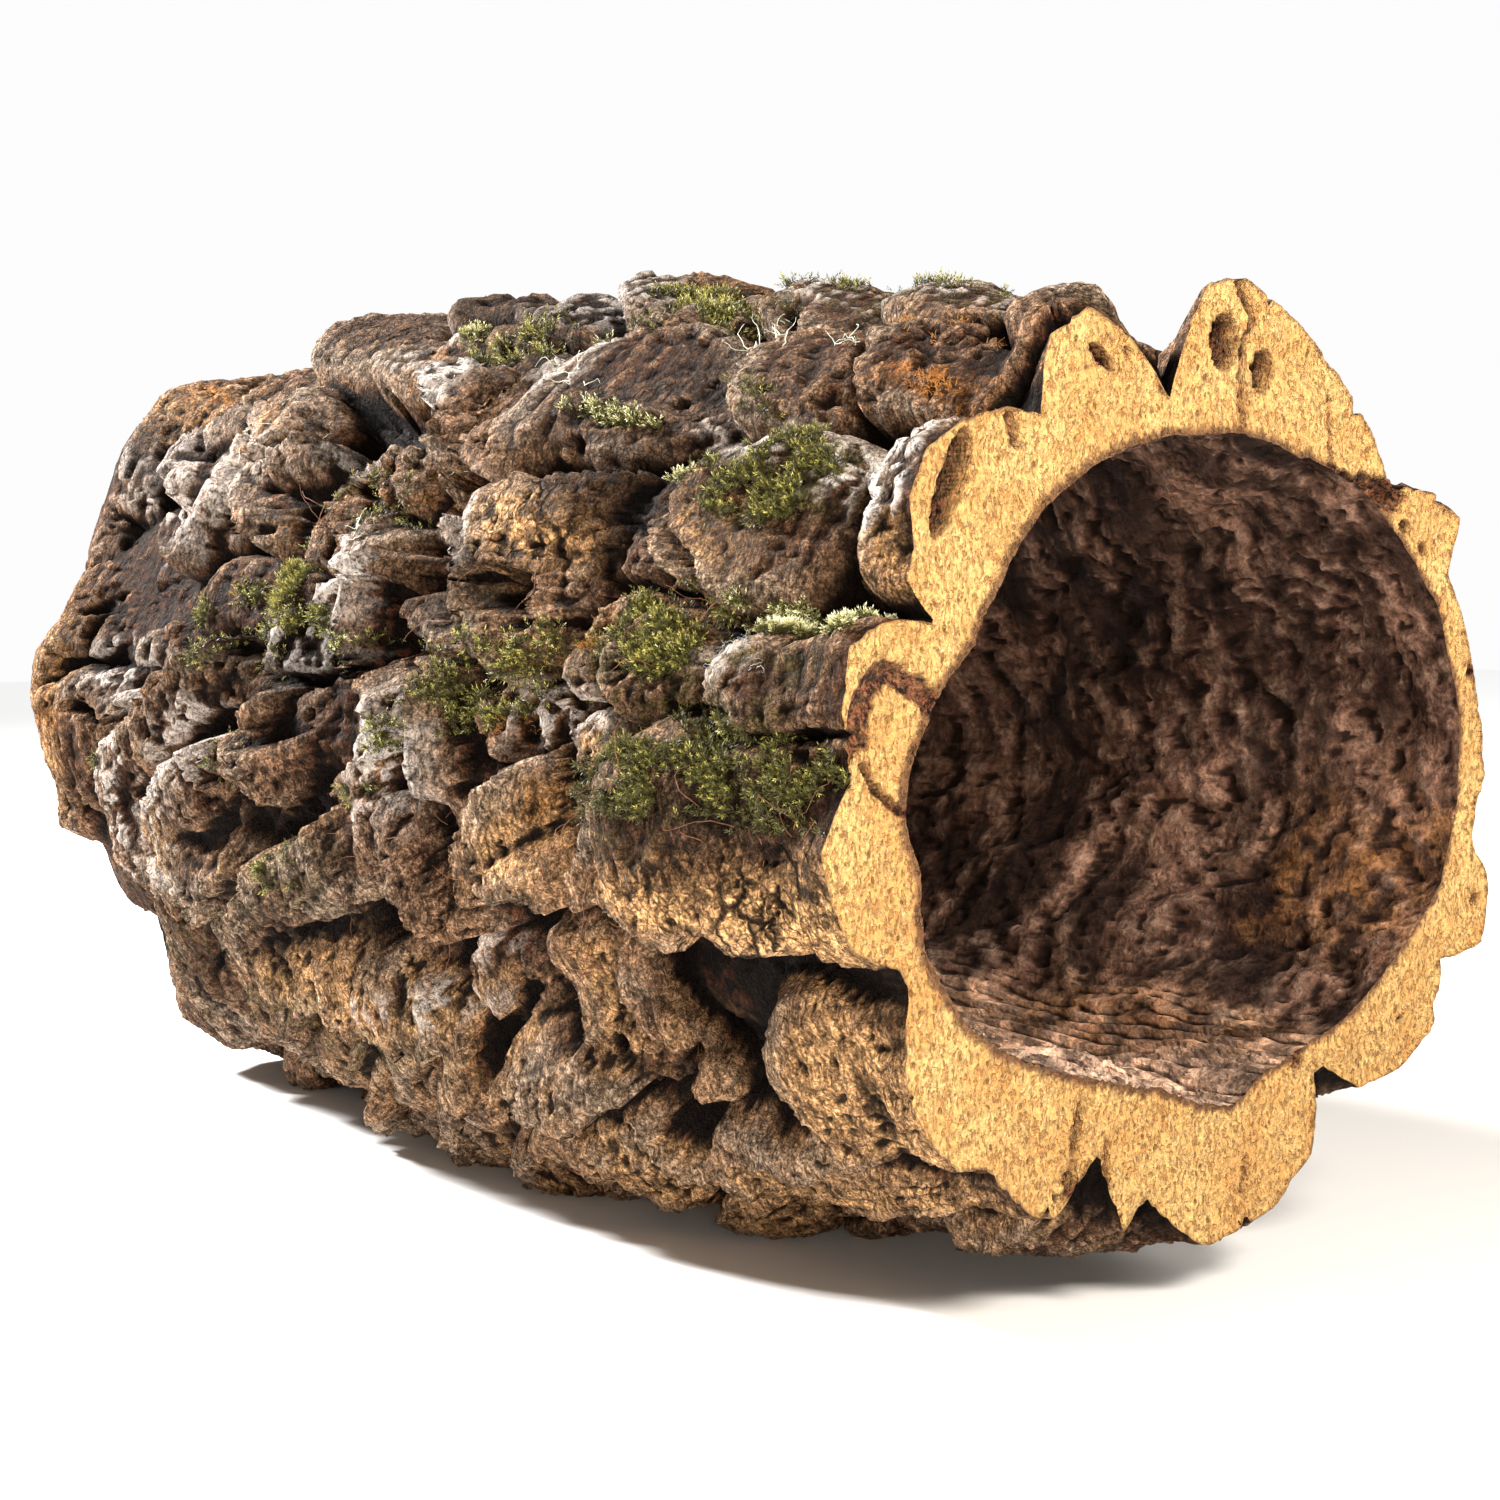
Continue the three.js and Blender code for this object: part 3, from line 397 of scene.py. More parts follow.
# Places: (s, phi, half-length along, half-length around, strength, or 1 where none is given). The calm
# ones are smooth, the ledges are stacked round the tube, and those of the inside are warm or its floor.
CALM_PLACES = (
    (24, 194, 52, 26), (22, 220, 26, 22), (104, 126, 24, 20), (120, 148, 16, 14), (98, 193, 24, 14),
    (298, 192, 16, 24), (270, 196, 12, 20), (345, 188, 26, 24), (282, 100, 24, 20), (20, 167, 18, 9),
    (330, 226, 20, 24), (256, 232, 12, 22), (290, 224, 60, 14), (220, 232, 40, 10),
)
LEDGE_PLACES = ((40, 246, 95, 26), (40, 228, 60, 14, 0.5), (170, 262, 120, 34, 0.7))
WARM_PLACES = ((110, 262, 50, 34), (60, 300, 60, 20, 0.4), (20, 340, 30, 30, 0.25))
# The floor place is painted lighter, partly as painted light.
FLOOR_PLACES = ((80, 268, 120, 66),)
COLOUR_PLACES = {
    "tan": (
        (22, 222, 55, 34, 0.85), (24, 200, 58, 20, 1.25), (60, 196, 22, 14, 0.7),
        (120, 149, 20, 18, 0.9), (292, 128, 12, 9), (98, 192, 32, 16, 0.8), (60, 245, 70, 18, 0.7),
        (110, 240, 45, 28, 0.6), (206, 219, 46, 16, 0.7), (100, 214, 22, 22, 0.6),
        (150, 224, 24, 20, 0.6), (282, 196, 10, 22, 0.5), (376, 178, 12, 46, 0.45),
        (356, 118, 26, 16, 0.3), (250, 236, 60, 20, 0.4), (8, 150, 12, 10, 0.6),
        (200, 226, 30, 14, 0.5), (90, 181, 14, 10, 0.5), (54, 150, 20, 14, 0.3),
        (186, 246, 60, 14, 0.4), (172, 206, 16, 10, 0.5), (60, 330, 60, 40, 0.4),
        (200, 30, 60, 40, 0.4), (320, 60, 50, 30, 0.4), (20, 0, 30, 60, 0.5), (120, 280, 70, 30, 0.5),
        (300, 300, 50, 30, 0.4),
    ),
    "orange": (
        (232, 118, 22, 8), (62, 161, 14, 6), (77, 160, 9, 8), (20, 122, 20, 8, 0.8),
        (4, 124, 10, 8, 0.8), (136, 98, 14, 8, 0.8), (120, 176, 14, 9, 0.5), (176, 143, 18, 7, 0.5),
        (214, 137, 14, 4, 0.7), (106, 167, 10, 6, 0.8), (96, 186, 8, 5, 0.6), (84, 204, 14, 8, 0.7),
        (368, 176, 8, 20, 0.6), (150, 208, 16, 8, 0.6), (262, 170, 8, 6, 0.6), (354, 112, 14, 8, 0.8),
        (120, 99, 16, 6, 0.6), (90, 62, 20, 14, 0.6), (260, 20, 22, 16, 0.5), (180, 320, 20, 16, 0.5),
    ),
    # Places where the crests get a painted highlight
    "pale": (
        (150, 210, 14, 6, 0.4), (176, 218, 30, 5, 0.5), (290, 204, 24, 5, 0.5), (14, 138, 20, 14),
        (140, 120, 12, 18, 0.8), (194, 128, 14, 20, 0.9), (140, 150, 10, 14, 0.9),
        (188, 160, 12, 20, 0.9), (155, 182, 16, 18, 0.7), (306, 190, 10, 22, 0.7),
        (274, 190, 10, 18, 0.8), (214, 140, 24, 5, 0.9), (318, 136, 60, 24, 0.5),
        (230, 112, 26, 6, 0.6), (100, 174, 20, 12, 0.6), (160, 104, 40, 10, 0.5), (46, 135, 18, 8, 0.7),
        (330, 172, 34, 12, 0.6), (70, 100, 50, 8, 0.5), (260, 182, 20, 12, 0.7), (36, 166, 12, 6, 0.6),
        (220, 166, 20, 12, 0.5), (80, 130, 10, 10, 0.4),
    ),
    "green": (
        (46, 170, 40, 24), (42, 141, 26, 15, 0.9), (122, 169, 24, 14, 0.8), (242, 160, 14, 26, 0.9),
        (118, 102, 30, 12, 0.8), (190, 114, 18, 9, 0.7), (200, 198, 18, 14, 0.6),
        (158, 176, 10, 12, 0.6), (290, 160, 20, 10, 0.5), (320, 168, 12, 10, 0.5),
        (60, 100, 60, 10, 0.6), (330, 192, 8, 8, 0.4), (240, 205, 20, 10, 0.4), (60, 184, 40, 10, 0.6),
        (250, 80, 60, 24, 0.6), (120, 60, 70, 30, 0.5), (280, 40, 40, 24, 0.4), (260, 226, 90, 16),
        (300, 214, 40, 12, 0.6),
    ),
    # Darker places: partly the bark's own sooty colour, and partly painted shade in its hollows and gaps.
    "sooty": (
        (300, 232, 70, 14, 0.5), (352, 128, 26, 14, 0.8), (190, 104, 70, 18, 0.9),
        (200, 122, 40, 8, 0.5), (44, 206, 20, 6, 0.9), (330, 150, 30, 14, 0.6), (300, 176, 20, 12, 0.5),
        (45, 209, 14, 9), (132, 156, 16, 8, 0.7), (276, 168, 20, 20, 0.5), (340, 200, 20, 14, 0.4),
        (340, 164, 34, 26, 0.6), (220, 166, 50, 22, 0.9), (90, 142, 30, 12), (160, 116, 40, 22, 0.8),
        (209, 130, 20, 12), (238, 129, 16, 11), (45, 209, 16, 9), (56, 222, 12, 9, 0.9),
        (100, 118, 30, 16, 0.4), (160, 158, 22, 16, 0.6), (60, 214, 14, 12, 0.7),
        (290, 160, 30, 14, 0.6), (130, 160, 18, 8, 0.5), (20, 182, 40, 7, 0.6), (190, 170, 20, 12, 0.6),
        (330, 120, 20, 12, 0.4), (80, 60, 60, 20, 0.5), (220, 20, 60, 20, 0.5), (300, 340, 50, 20, 0.5),
        (80, 290, 60, 14, 0.5),
    ),
    "cracked": (
        (30, 196, 52, 24), (104, 130, 26, 16, 0.9), (120, 148, 22, 16), (98, 193, 26, 14, 0.6),
        (20, 228, 40, 14, 0.5), (12, 142, 20, 16, 0.8), (282, 100, 24, 20, 0.7), (45, 146, 24, 14, 0.5),
        (60, 330, 60, 40, 0.8), (220, 40, 60, 40, 0.7), (320, 320, 60, 40, 0.8),
        (160, 300, 60, 30, 0.7),
    ),
}

# Moss: the solid that each cushion stands for, its place (s, phi, half-length along, half-length
# around), shoots, height of a shoot, and how light it is
CUSHIONS = (
    ("moss_main", 38, 178, 43, 11, 1700, 3.2, 0.2), ("moss_patch", 57, 162, 25, 12, 1500, 3.6, 0.45),
    ("moss_upper", 42, 140, 22, 15, 1000, 3.4, 0.3), ("moss_middle", 120, 170, 27, 12, 800, 4.2, 0.7),
    ("moss_rear", 237, 158, 13, 24, 900, 4.2, 0.75), ("moss_crest", 118, 103, 26, 12, 700, 3.6, 0.5),
    ("moss_crest_rear", 188, 114, 16, 9, 350, 4.2, 0.9),
)
# Loose sprigs: (s, phi, half-length along, half-length around, shoots, how light)
SPRIGS = (
    (22, 159, 24, 5, 1400, 2.3), (34, 159, 10, 4, 140, 1.2), (100, 164, 10, 5, 120, 0.9),
    (132, 176, 9, 5, 130, 0.9), (150, 178, 9, 5, 130, 1), (112, 131, 15, 2, 240, 2.2),
    (146, 118, 14, 2.2, 200, 2.2), (84, 138, 10, 2, 110, 2), (214, 160, 9, 9, 170, 0.8),
    (208, 167, 7, 7, 80, 0.6), (262, 157, 9, 6, 110, 0.7), (288, 161, 10, 5, 90, 0.6),
    (258, 167, 6, 8, 80, 0.7), (317, 186, 5, 5, 40, 0.7), (203, 197, 8, 7, 110, 0.6),
    (166, 186, 6, 5, 70, 0.7), (174, 166, 7, 3, 60, 1.3), (150, 167, 6, 4, 60, 1.3),
    (78, 183, 14, 8, 160, 0.1), (14, 183, 22, 5, 90, 0.05), (205, 112, 16, 3, 120, 1.5),
    (128, 105, 22, 4, 120, 1.2), (60, 98, 26, 6, 130, 0.7), (92, 97, 20, 5, 120, 0.8),
    (232, 184, 10, 8, 60, 0.4), (140, 110, 60, 10, 160, 0.4), (70, 130, 14, 8, 110, 0.5),
    (190, 145, 30, 10, 120, 0.5), (120, 60, 90, 26, 160, 0.5), (280, 50, 60, 24, 80, 0.4),
)
SPRIG_HEIGHT = 3.6
LEAVES = 13
GOLDEN_TURN = math.pi * (3 - math.sqrt(5))

# Threads: name, colour, roughness, radius, length, steps, curl, lift, and places (s, phi, half-length
# along, half-length around, count)
THREADS = (
    ("lichen_threads", (0.56, 0.6, 0.5), 0.7, 0.16, 9, 9, 0.55, 0.12,
     ((78, 118, 10, 5, 9), (64, 116, 12, 6, 8), (92, 108, 14, 6, 7), (186, 150, 6, 3, 6),
      (160, 140, 12, 6, 5), (150, 120, 14, 8, 6), (290, 128, 20, 14, 6), (128, 126, 10, 4, 5))),
    ("white_web", (0.5, 0.54, 0.6), 0.6, 0.05, 6, 14, 0.75, 0,
     ((27, 165, 7, 6, 13), (34, 163, 4, 3, 6), (42, 206, 6, 4, 4))),
    ("rootlets", (0.17, 0.065, 0.028), 0.6, 0.14, 16, 10, 0.28, 0.1,
     ((60, 168, 30, 26, 16), (100, 205, 40, 20, 16), (118, 160, 20, 20, 10), (220, 150, 30, 20, 12),
      (150, 200, 40, 24, 16), (20, 184, 20, 8, 10), (80, 190, 30, 10, 8), (180, 215, 30, 20, 10),
      (90, 40, 60, 40, 8), (250, 30, 60, 40, 8))),
    ("orange_tufts", (0.36, 0.15, 0.03), 0.8, 0.11, 1.6, 4, 0.8, 0.6,
     ((62, 158, 7, 3, 160), (80, 163, 5, 5, 90), (22, 121, 12, 4, 120), (8, 124, 5, 3, 60),
      (120, 176, 8, 5, 60), (34, 110, 16, 6, 70), (108, 168, 6, 5, 60))),
)

# Camera, floor and light
CAMERA_PLACE = (-411.1, -592.5, 40.9 + AXIS_HEIGHT)
CAMERA_YAW = 36.855
CAMERA_PITCH = 3.709
SENSOR_WIDTH = 36
FOCAL_LENGTH_PX = 2800
PHOTO_WIDTH_PX = 1500
FLOOR_WIDTH = 6.0
FLOOR_COLOUR = (0.88, 0.87, 0.86)
BACKDROP_COLOUR = (0.98, 0.98, 0.98)
SOFT_LIGHT = 0.16


def smooth(t):
    x = np.clip(t, 0.0, 1.0)
    return x * x * (3 - 2 * x)


def within(value, first, last, blend):
    """1 between first and last, falling to 0 at both over the blend."""
    return smooth((value - first) / blend) * smooth((last - value) / blend)


def raised(lowest, share):
    """The share, but from lowest to 1."""
    return lowest + (1 - lowest) * share


def fraction(value):
    return value - np.floor(value)


class GradientNoise:
    """Repeatable gradient noise in space, about -1 to 1, with cells of 1."""

    def __init__(self, seed):
        chance = np.random.default_rng(seed)
        order = chance.permutation(256)
        self.order = np.concatenate([order, order])
        slopes = chance.normal(size=(256, 3))
        self.slopes = (slopes / np.linalg.norm(slopes, axis=1, keepdims=True)).astype(np.float32)

    def __call__(self, points):
        cell = np.floor(points)
        inside = (points - cell).astype(np.float32)
        corner = cell.astype(np.int64) & 255
        fade = inside ** 3 * (inside * (inside * 6 - 15) + 10)
        total = np.zeros(points.shape[:-1], np.float32)
        for dx in (0, 1):
            across_x = self.order[(corner[..., 0] + dx) & 255]
            weight_x = fade[..., 0] if dx else 1 - fade[..., 0]
            for dy in (0, 1):
                across_y = self.order[(across_x + corner[..., 1] + dy) & 255]
                weight_y = weight_x * (fade[..., 1] if dy else 1 - fade[..., 1])
                for dz in (0, 1):
                    slope = self.slopes[self.order[(across_y + corner[..., 2] + dz) & 255]]
                    weight = weight_y * (fade[..., 2] if dz else 1 - fade[..., 2])
                    dot = (slope[..., 0] * (inside[..., 0] - dx) + slope[..., 1] * (inside[..., 1] - dy)
                           + slope[..., 2] * (inside[..., 2] - dz))
                    total += weight * dot
        return total * 1.6


def layered(noise, points, size, octaves, gain=0.5, start=0.0):
    """Noise in several sizes, each half as large as the last. The largest is in mm, and can differ
    along x, y and z. Another start, or points moved as a whole, give another piece of the noise."""
    points = points / np.array(size, float) + start
    total = 0.0
    strength = 1.0
    for octave in range(octaves):
        total = total + strength * noise(points * 2 ** octave + 17.3 * octave)
        strength = strength * gain
    return total


EDGE_NOISE = GradientNoise(3)
LUMP_NOISE = GradientNoise(11)
FOLD_NOISE = GradientNoise(23)
CRACK_NOISE = GradientNoise(37)
LAYER_NOISE = GradientNoise(51)
BORE_NOISE = GradientNoise(67)


def bent(points, reach, shift, size, octaves):
    """The points moved by noise, so that what is looked up there winds."""
    return points + reach * layered(EDGE_NOISE, points + shift, size, octaves)[..., None]


def wrap(degrees):
    return (degrees + 180.0) % 360.0 - 180.0


def arc(degrees):
    return np.radians(degrees) * UNROLL_RADIUS


def offset(s, phi, place_s, place_phi, along=1, around=1):
    """How far points are from a place, along the tube and around it, in mm or in the given sizes."""
    return (s - place_s) / along, arc(wrap(phi - place_phi)) / around


def turned(u, v, angle):
    return u * math.cos(angle) + v * math.sin(angle), v * math.cos(angle) - u * math.sin(angle)


def off_line(u, v, du, dv):
    """Offset from the nearest point of the line from (0, 0) to (du, dv), and that point's share of
    the line's length."""
    t = np.clip((u * du + v * dv) / (du * du + dv * dv), 0, 1)
    return u - t * du, v - t * dv, t


def along_outline(outline, phi):
    return np.interp(phi, outline[:, 0], outline[:, 1], period=360.0)


def unrolled(s, phi):
    """Points on a plain cylinder, to look noise up with no seam."""
    turn = np.radians(phi)
    return np.stack([UNROLL_RADIUS * np.cos(turn), s, UNROLL_RADIUS * np.sin(turn)], axis=-1)


def girth(s, phi):
    angle = phi % 360.0
    column = np.clip(np.searchsorted(GIRTH_PHI, angle, side="left") - 1, 0, len(GIRTH_PHI) - 2)
    row = np.clip(np.searchsorted(GIRTH_S, s, side="left") - 1, 0, len(GIRTH_S) - 2)
    across = smooth((angle - GIRTH_PHI[column]) / (GIRTH_PHI[column + 1] - GIRTH_PHI[column]))
    down = smooth((s - GIRTH_S[row]) / (GIRTH_S[row + 1] - GIRTH_S[row]))
    near = GIRTH[row, column] * (1 - across) + GIRTH[row, column + 1] * across
    far = GIRTH[row + 1, column] * (1 - across) + GIRTH[row + 1, column + 1] * across
    return near * (1 - down) + far * down


def waved(value, waves, s, phi):
    for height, around, along, start in waves:
        value = value + height * np.sin(around * np.radians(phi) + along * s + start)
    return value


def wander(s, phi):
    """The lobes' edges wander, so the place is moved a little before it is looked up."""
    shell = unrolled(s, phi)
    ragged_s = 1.5 * layered(EDGE_NOISE, shell, 26, 3, 0.45)
    ragged_phi = 0.9 * layered(EDGE_NOISE, shell + 400, 26, 3, 0.45)
    return waved(s, WANDER_ALONG, s, phi) + ragged_s, waved(phi, WANDER_AROUND, s, phi) + ragged_phi


def lobe_height(s, phi):
    """Height of the highest lobe here, how little it stands over the next highest, and the growth
    layer: mm along the tube on the front lobes, and mm in from the lobe's edge on the others."""
    best = GAP_FLOOR + GAP_FLOOR_LUMPS * np.sin(0.31 * s) * np.sin(np.radians(19 * phi))
    second = np.zeros_like(s)
    layer = np.zeros_like(s)
    for number, (place_s, place_phi, along, around, turn, crown) in enumerate(lobes):
        u, v = offset(s, phi, place_s, place_phi)
        near = np.maximum(np.abs(u), np.abs(v)) < max(along, around)
        p, q = turned(u[near], v[near], turn)
        p = p / along
        r = (np.abs(p) ** LOBE_PLAN + np.abs(q / around) ** LOBE_PLAN) ** (1 / LOBE_PLAN)
        top = (RELIEF + crown) * (1 + CREST_SHIFT * p)
        dome = top * np.clip(1 - r ** LOBE_FLATNESS, 0, None) ** LOBE_EDGE
        here = u[near] if number < len(FRONT_LOBES) else (1 - r) * min(along, around)
        higher = dome > best[near]
        layer[near] = np.where(higher, here, layer[near])
        second[near] = np.where(higher, best[near], np.maximum(second[near], dome))
        best[near] = np.where(higher, dome, best[near])
    return best, smooth(1 - (best - second) / CREASE_REACH), layer


def fold_height(s, phi):
    """Height of the highest fold here, the depth of the gaps behind the folds' edges, and the
    distance from the edge."""
    best = np.zeros_like(s)
    gap = np.zeros_like(s)
    layer = np.zeros_like(s)
    for crown, width, points in FOLDS:
        reach = max(width, FOLD_GAP)
        low = np.min(points, axis=0) - reach
        high = np.max(points, axis=0) + reach
        near = (s > low[0]) & (s < high[0]) & (phi > low[1]) & (phi < high[1])
        nearest = np.full(s[near].shape, 1e6)
        side = np.zeros_like(nearest)
        along = np.zeros_like(nearest)
        for number, ((s0, phi0), (s1, phi1)) in enumerate(zip(points, points[1:])):
            du = s1 - s0
            dv = arc(phi1 - phi0)
            u, v, t = off_line(s[near] - s0, arc(phi[near] - phi0), du, dv)
            distance = np.hypot(u, v)
            closer = distance < nearest
            nearest = np.where(closer, distance, nearest)
            side = np.where(closer, du * v - dv * u, side)
            along = np.where(closer, (number + t) / (len(points) - 1), along)
        face = side > 0
        share = np.where(face, (nearest / width) ** FOLD_FACE_CURVE, (nearest / FOLD_EDGE) ** 2)
        height = (RELIEF + crown) * np.sqrt(np.clip(1 - share, 0, None))
        higher = height > best[near]
        layer[near] = np.where(higher, nearest, layer[near])
        best[near] = np.where(higher, height, best[near])
        behind = smooth(nearest / FOLD_GAP_START) * np.clip(1 - nearest / FOLD_GAP, 0, 1)
        behind = FOLD_GAP_DEPTH * within(along, 0, 1, FOLD_TAPER) * behind
        gap[near] = np.maximum(gap[near], np.where(face, 0, behind))
    return best, gap, layer


def line_profile(s, phi, lines, power):
    """Greatest depth or height of the lines here. It goes with a power of the share of the
    half-width: 1 has straight sides, and less than 1 is rounder."""
    greatest = np.zeros_like(s)
    for size, half_width, points in lines:
        for (s0, phi0), (s1, phi1) in zip(points, points[1:]):
            u, v, _ = off_line(*offset(s, phi, s0, phi0), s1 - s0, arc(phi1 - phi0))
            share = np.clip(1 - np.hypot(u, v) / half_width, 0, 1)
            greatest = np.maximum(greatest, size * share ** power)
    return greatest


def hollow_depth(s, phi):
    deepest = np.zeros_like(s)
    for *site, depth in HOLLOWS:
        p, q = offset(s, phi, *site)
        deepest = np.maximum(deepest, depth * np.sqrt(np.clip(1 - p * p - q * q, 0, 1)))
    return deepest


def bore_radius(s, phi):
    away = smooth(s / BORE_BLEND)
    inside = BORE_RADIUS + BORE_SHIFT * np.cos(np.radians(phi))
    lumps = waved(0, BORE_LUMPS, s, phi) * smooth(s / BORE_LUMPS_BLEND)
    return along_outline(BORE_OUTLINE, phi) * (1 - away) + inside * away + lumps


def folded_share(s, phi):
    """1 on the middle and rear of the shown side, where folds cover the lobes, and 0 elsewhere."""
    return (smooth((s - FOLDED_FRONT) / FOLDED_FRONT_BLEND) * smooth((phi - FOLDED_TOP) / FOLDED_TOP_BLEND)
            * smooth((FOLDED_BOTTOM - phi) / FOLDED_BOTTOM_BLEND))


def lobed_radius(s, phi):
    """Radius of the lobes and folds alone, how much of a crease is here, and the growth layer."""
    moved = wander(s, phi)
    height, crease, layer = lobe_height(*moved)
    height = height - LOBE_SINK * folded_share(*moved)
    folded, gap, from_edge = fold_height(*moved)
    layer = np.where(folded > height, from_edge, layer)
    crease = np.maximum(crease * smooth(1 - (folded - height) / FOLD_COVERS), gap / FOLD_GAP_DEPTH)
    height = np.maximum(height, folded) - gap
    sunk = hollow_depth(*moved)
    radius = girth(s, phi) - RELIEF + height - line_profile(*moved, FURROWS, 1) - sunk
    # The crease share, which also takes in the gaps behind the folds' edges and the hollows, paints the
    # bark dark there in bark_finish, as painted shade.
    return radius, np.maximum(crease, smooth(sunk / HOLLOW_CREASE)), layer


def places_share(s, phi, places):
    """How far each point lies inside the places, 0 to their strength, with ragged edges."""
    ragged = PLACE_RAGGED * layered(LAYER_NOISE, unrolled(s, phi), 14, 3, 0.6)
    most = np.zeros_like(s)
    for place_s, place_phi, along, around, *strength in places:
        distance = np.hypot(*offset(s, phi, place_s, place_phi, along, around))
        share = smooth(PLACE_CORE - distance + ragged)
        most = np.maximum(most, share * (strength[0] if strength else 1))
    return most


def terraces(height, step, shell):
    """Shift that turns a slope into ledges, as cork's growth layers weather."""
    share = fraction((height + 1.3 * layered(LAYER_NOISE, shell, 16, 3)) / step)
    return step * (smooth((share - 0.3) / 0.4) - share)


def fine_relief(s, phi, height):
    """Radial relief that is finer than the solids: raised lines, drapes round the tube to the rear,
    grain along it at the front, ledges along the lower front, growth layers and grooves. Also how
    lively the bark is, 1 or less where it is calm."""
    shell = unrolled(s, phi)
    rearness = smooth((s - DRAPED_FROM) / DRAPED_BLEND)
    lively = 1 - 0.85 * places_share(s, phi, CALM_PLACES)
    edges = line_profile(*wander(s, phi), RIBS, 1.5)
    draped = layered(FOLD_NOISE, shell, (55, 12, 55), 3)
    drapes = DRAPE_HEIGHT * (0.5 - 1.6 * np.abs(draped)) * rearness * lively
    grained = layered(FOLD_NOISE, shell, (9, 42, 9), 4, 0.55, 60)
    grain = GRAIN_HEIGHT * (0.5 - 1.5 * np.abs(grained)) * (1 - rearness) * lively
    stacked = arc(phi) / LEDGE_STEP + 1.1 * layered(LAYER_NOISE, shell, (26, 26 / 0.3, 26), 3)
    ledges = LEDGE_HEIGHT * places_share(s, phi, LEDGE_PLACES) * (fraction(stacked) ** 1.6 - 0.4)
    grooves = line_profile(*wander(s, phi), GROOVES, 0.5)
    grown = raised(0.35, smooth(layered(LUMP_NOISE, shell, 30, 2) + 0.5))
    growth = 0.5 * grown * terraces(height, TERRACE_STEP, shell)
    return edges + drapes + grain + ledges + growth - grooves, lively


def fissured(s, phi, radius, crease):
    """The far side as it wears: in broad patches its lobes have grown together, and ragged fissures
    run along the tube there instead."""
    shell = unrolled(s, phi)
    far = 1 - within(phi, FAR_FROM, FAR_TO, FAR_BLEND)
    worn = smooth(0.7 + 3.2 * layered(LUMP_NOISE, shell + 900, 70, 3, 0.6))
    patch = far * smooth(s / 22) * smooth((LENGTH - s) / 30) * worn
    split = np.abs(layered(FOLD_NOISE, bent(shell, 14, 77, 40, 3), (17, 52, 17), 4, 0.55, 300))
    gap = smooth(1 - split / FISSURE_WIDTH)
    swell = 4 * layered(LUMP_NOISE, shell + 40, 28, 3)
    merged = girth(s, phi) - PATCH_SINK + swell - FISSURE_DEPTH * gap
    return radius + (merged - radius) * patch, crease * (1 - patch) + gap * patch


def bark_radius(s, phi):
    """Radius of the bark with its fine relief, how much of a crease is here, the growth layer, and
    how lively the bark is."""
    radius, crease, layer = lobed_radius(s, phi)
    front_lobed = lobed_radius(np.zeros_like(s[:1]), phi[:1])[0]
    radius += (along_outline(FRONT_OUTLINE, phi) - front_lobed) * (1 - smooth(s / END_BLEND))
    rear = 1 - smooth((LENGTH - s) / REAR_BLEND)
    shown = within(phi, REAR_FROM, REAR_TO, REAR_SIDE_BLEND)
    radius += (along_outline(REAR_OUTLINE, phi) - radius) * rear * shown
    radius -= REAR_ROUND * (1 - smooth((LENGTH - s) / REAR_ROUND_LENGTH))
    radius, crease = fissured(s, phi, radius, crease)
    relief, lively = fine_relief(s, phi, radius - girth(s, phi) + RELIEF)
    relief = relief - CREASE_DEPTH * crease
    radius += relief * raised(0.35, smooth(s / 12)) * raised(0.15, smooth((LENGTH - s) / 25))
    return np.maximum(radius, bore_radius(s, phi) + MIN_WALL), crease, layer, lively


def place(s, phi, radius):
    turn = np.radians(phi)
    height = np.maximum(AXIS_HEIGHT + radius * np.sin(turn), 0.0)
    return np.stack([radius * np.cos(turn), s - LENGTH / 2, height], axis=-1)


def lean(s, phi, radius):
    """Place of a point of the outer skin. Away from the ends, what lies deep is moved to the front
    and upwards, so that the lobes overhang the gaps to their rear and below them."""
    depth = girth(s, phi) - radius
    free = within(s, 0, LENGTH, LEAN_BLEND)
    distance = np.hypot(*offset(s, phi, UPRIGHT_S, UPRIGHT_PHI, UPRIGHT_REACH, UPRIGHT_REACH))
    upright = smooth(UPRIGHT_CORE - distance)
    moved_phi = phi + np.degrees(np.cos(np.radians(phi)) * free * LEAN_DOWN * depth / UNROLL_RADIUS)
    return place(s - free * (LEAN_ALONG - upright) * depth, moved_phi, radius)


def grid_normals(points):
    """Normals of a grid that closes on itself around the tube, pointing out of the bark."""
    around = np.roll(points, -1, axis=1) - np.roll(points, 1, axis=1)
    return unit(np.cross(np.gradient(points, axis=0), around))


def unit(vectors):
    return vectors / np.maximum(np.linalg.norm(vectors, axis=-1, keepdims=True), 1e-9)


def blurred(values, reach):
    """Mean over a square of grid cells, reach cells to each side."""
    padded = np.pad(values, ((reach, reach), (0, 0)), mode="edge")
    rows = sum(padded[k:k + values.shape[0]] for k in range(2 * reach + 1))
    total = sum(np.roll(rows, k, axis=1) for k in range(-reach, reach + 1))
    return total / (2 * reach + 1) ** 2


def raised_share(values, reach, height):
    """How far each point stands over its surroundings, 0 to 1 over the height in mm."""
    return np.clip(0.5 + (values - blurred(values, reach)) / height, 0, 1)


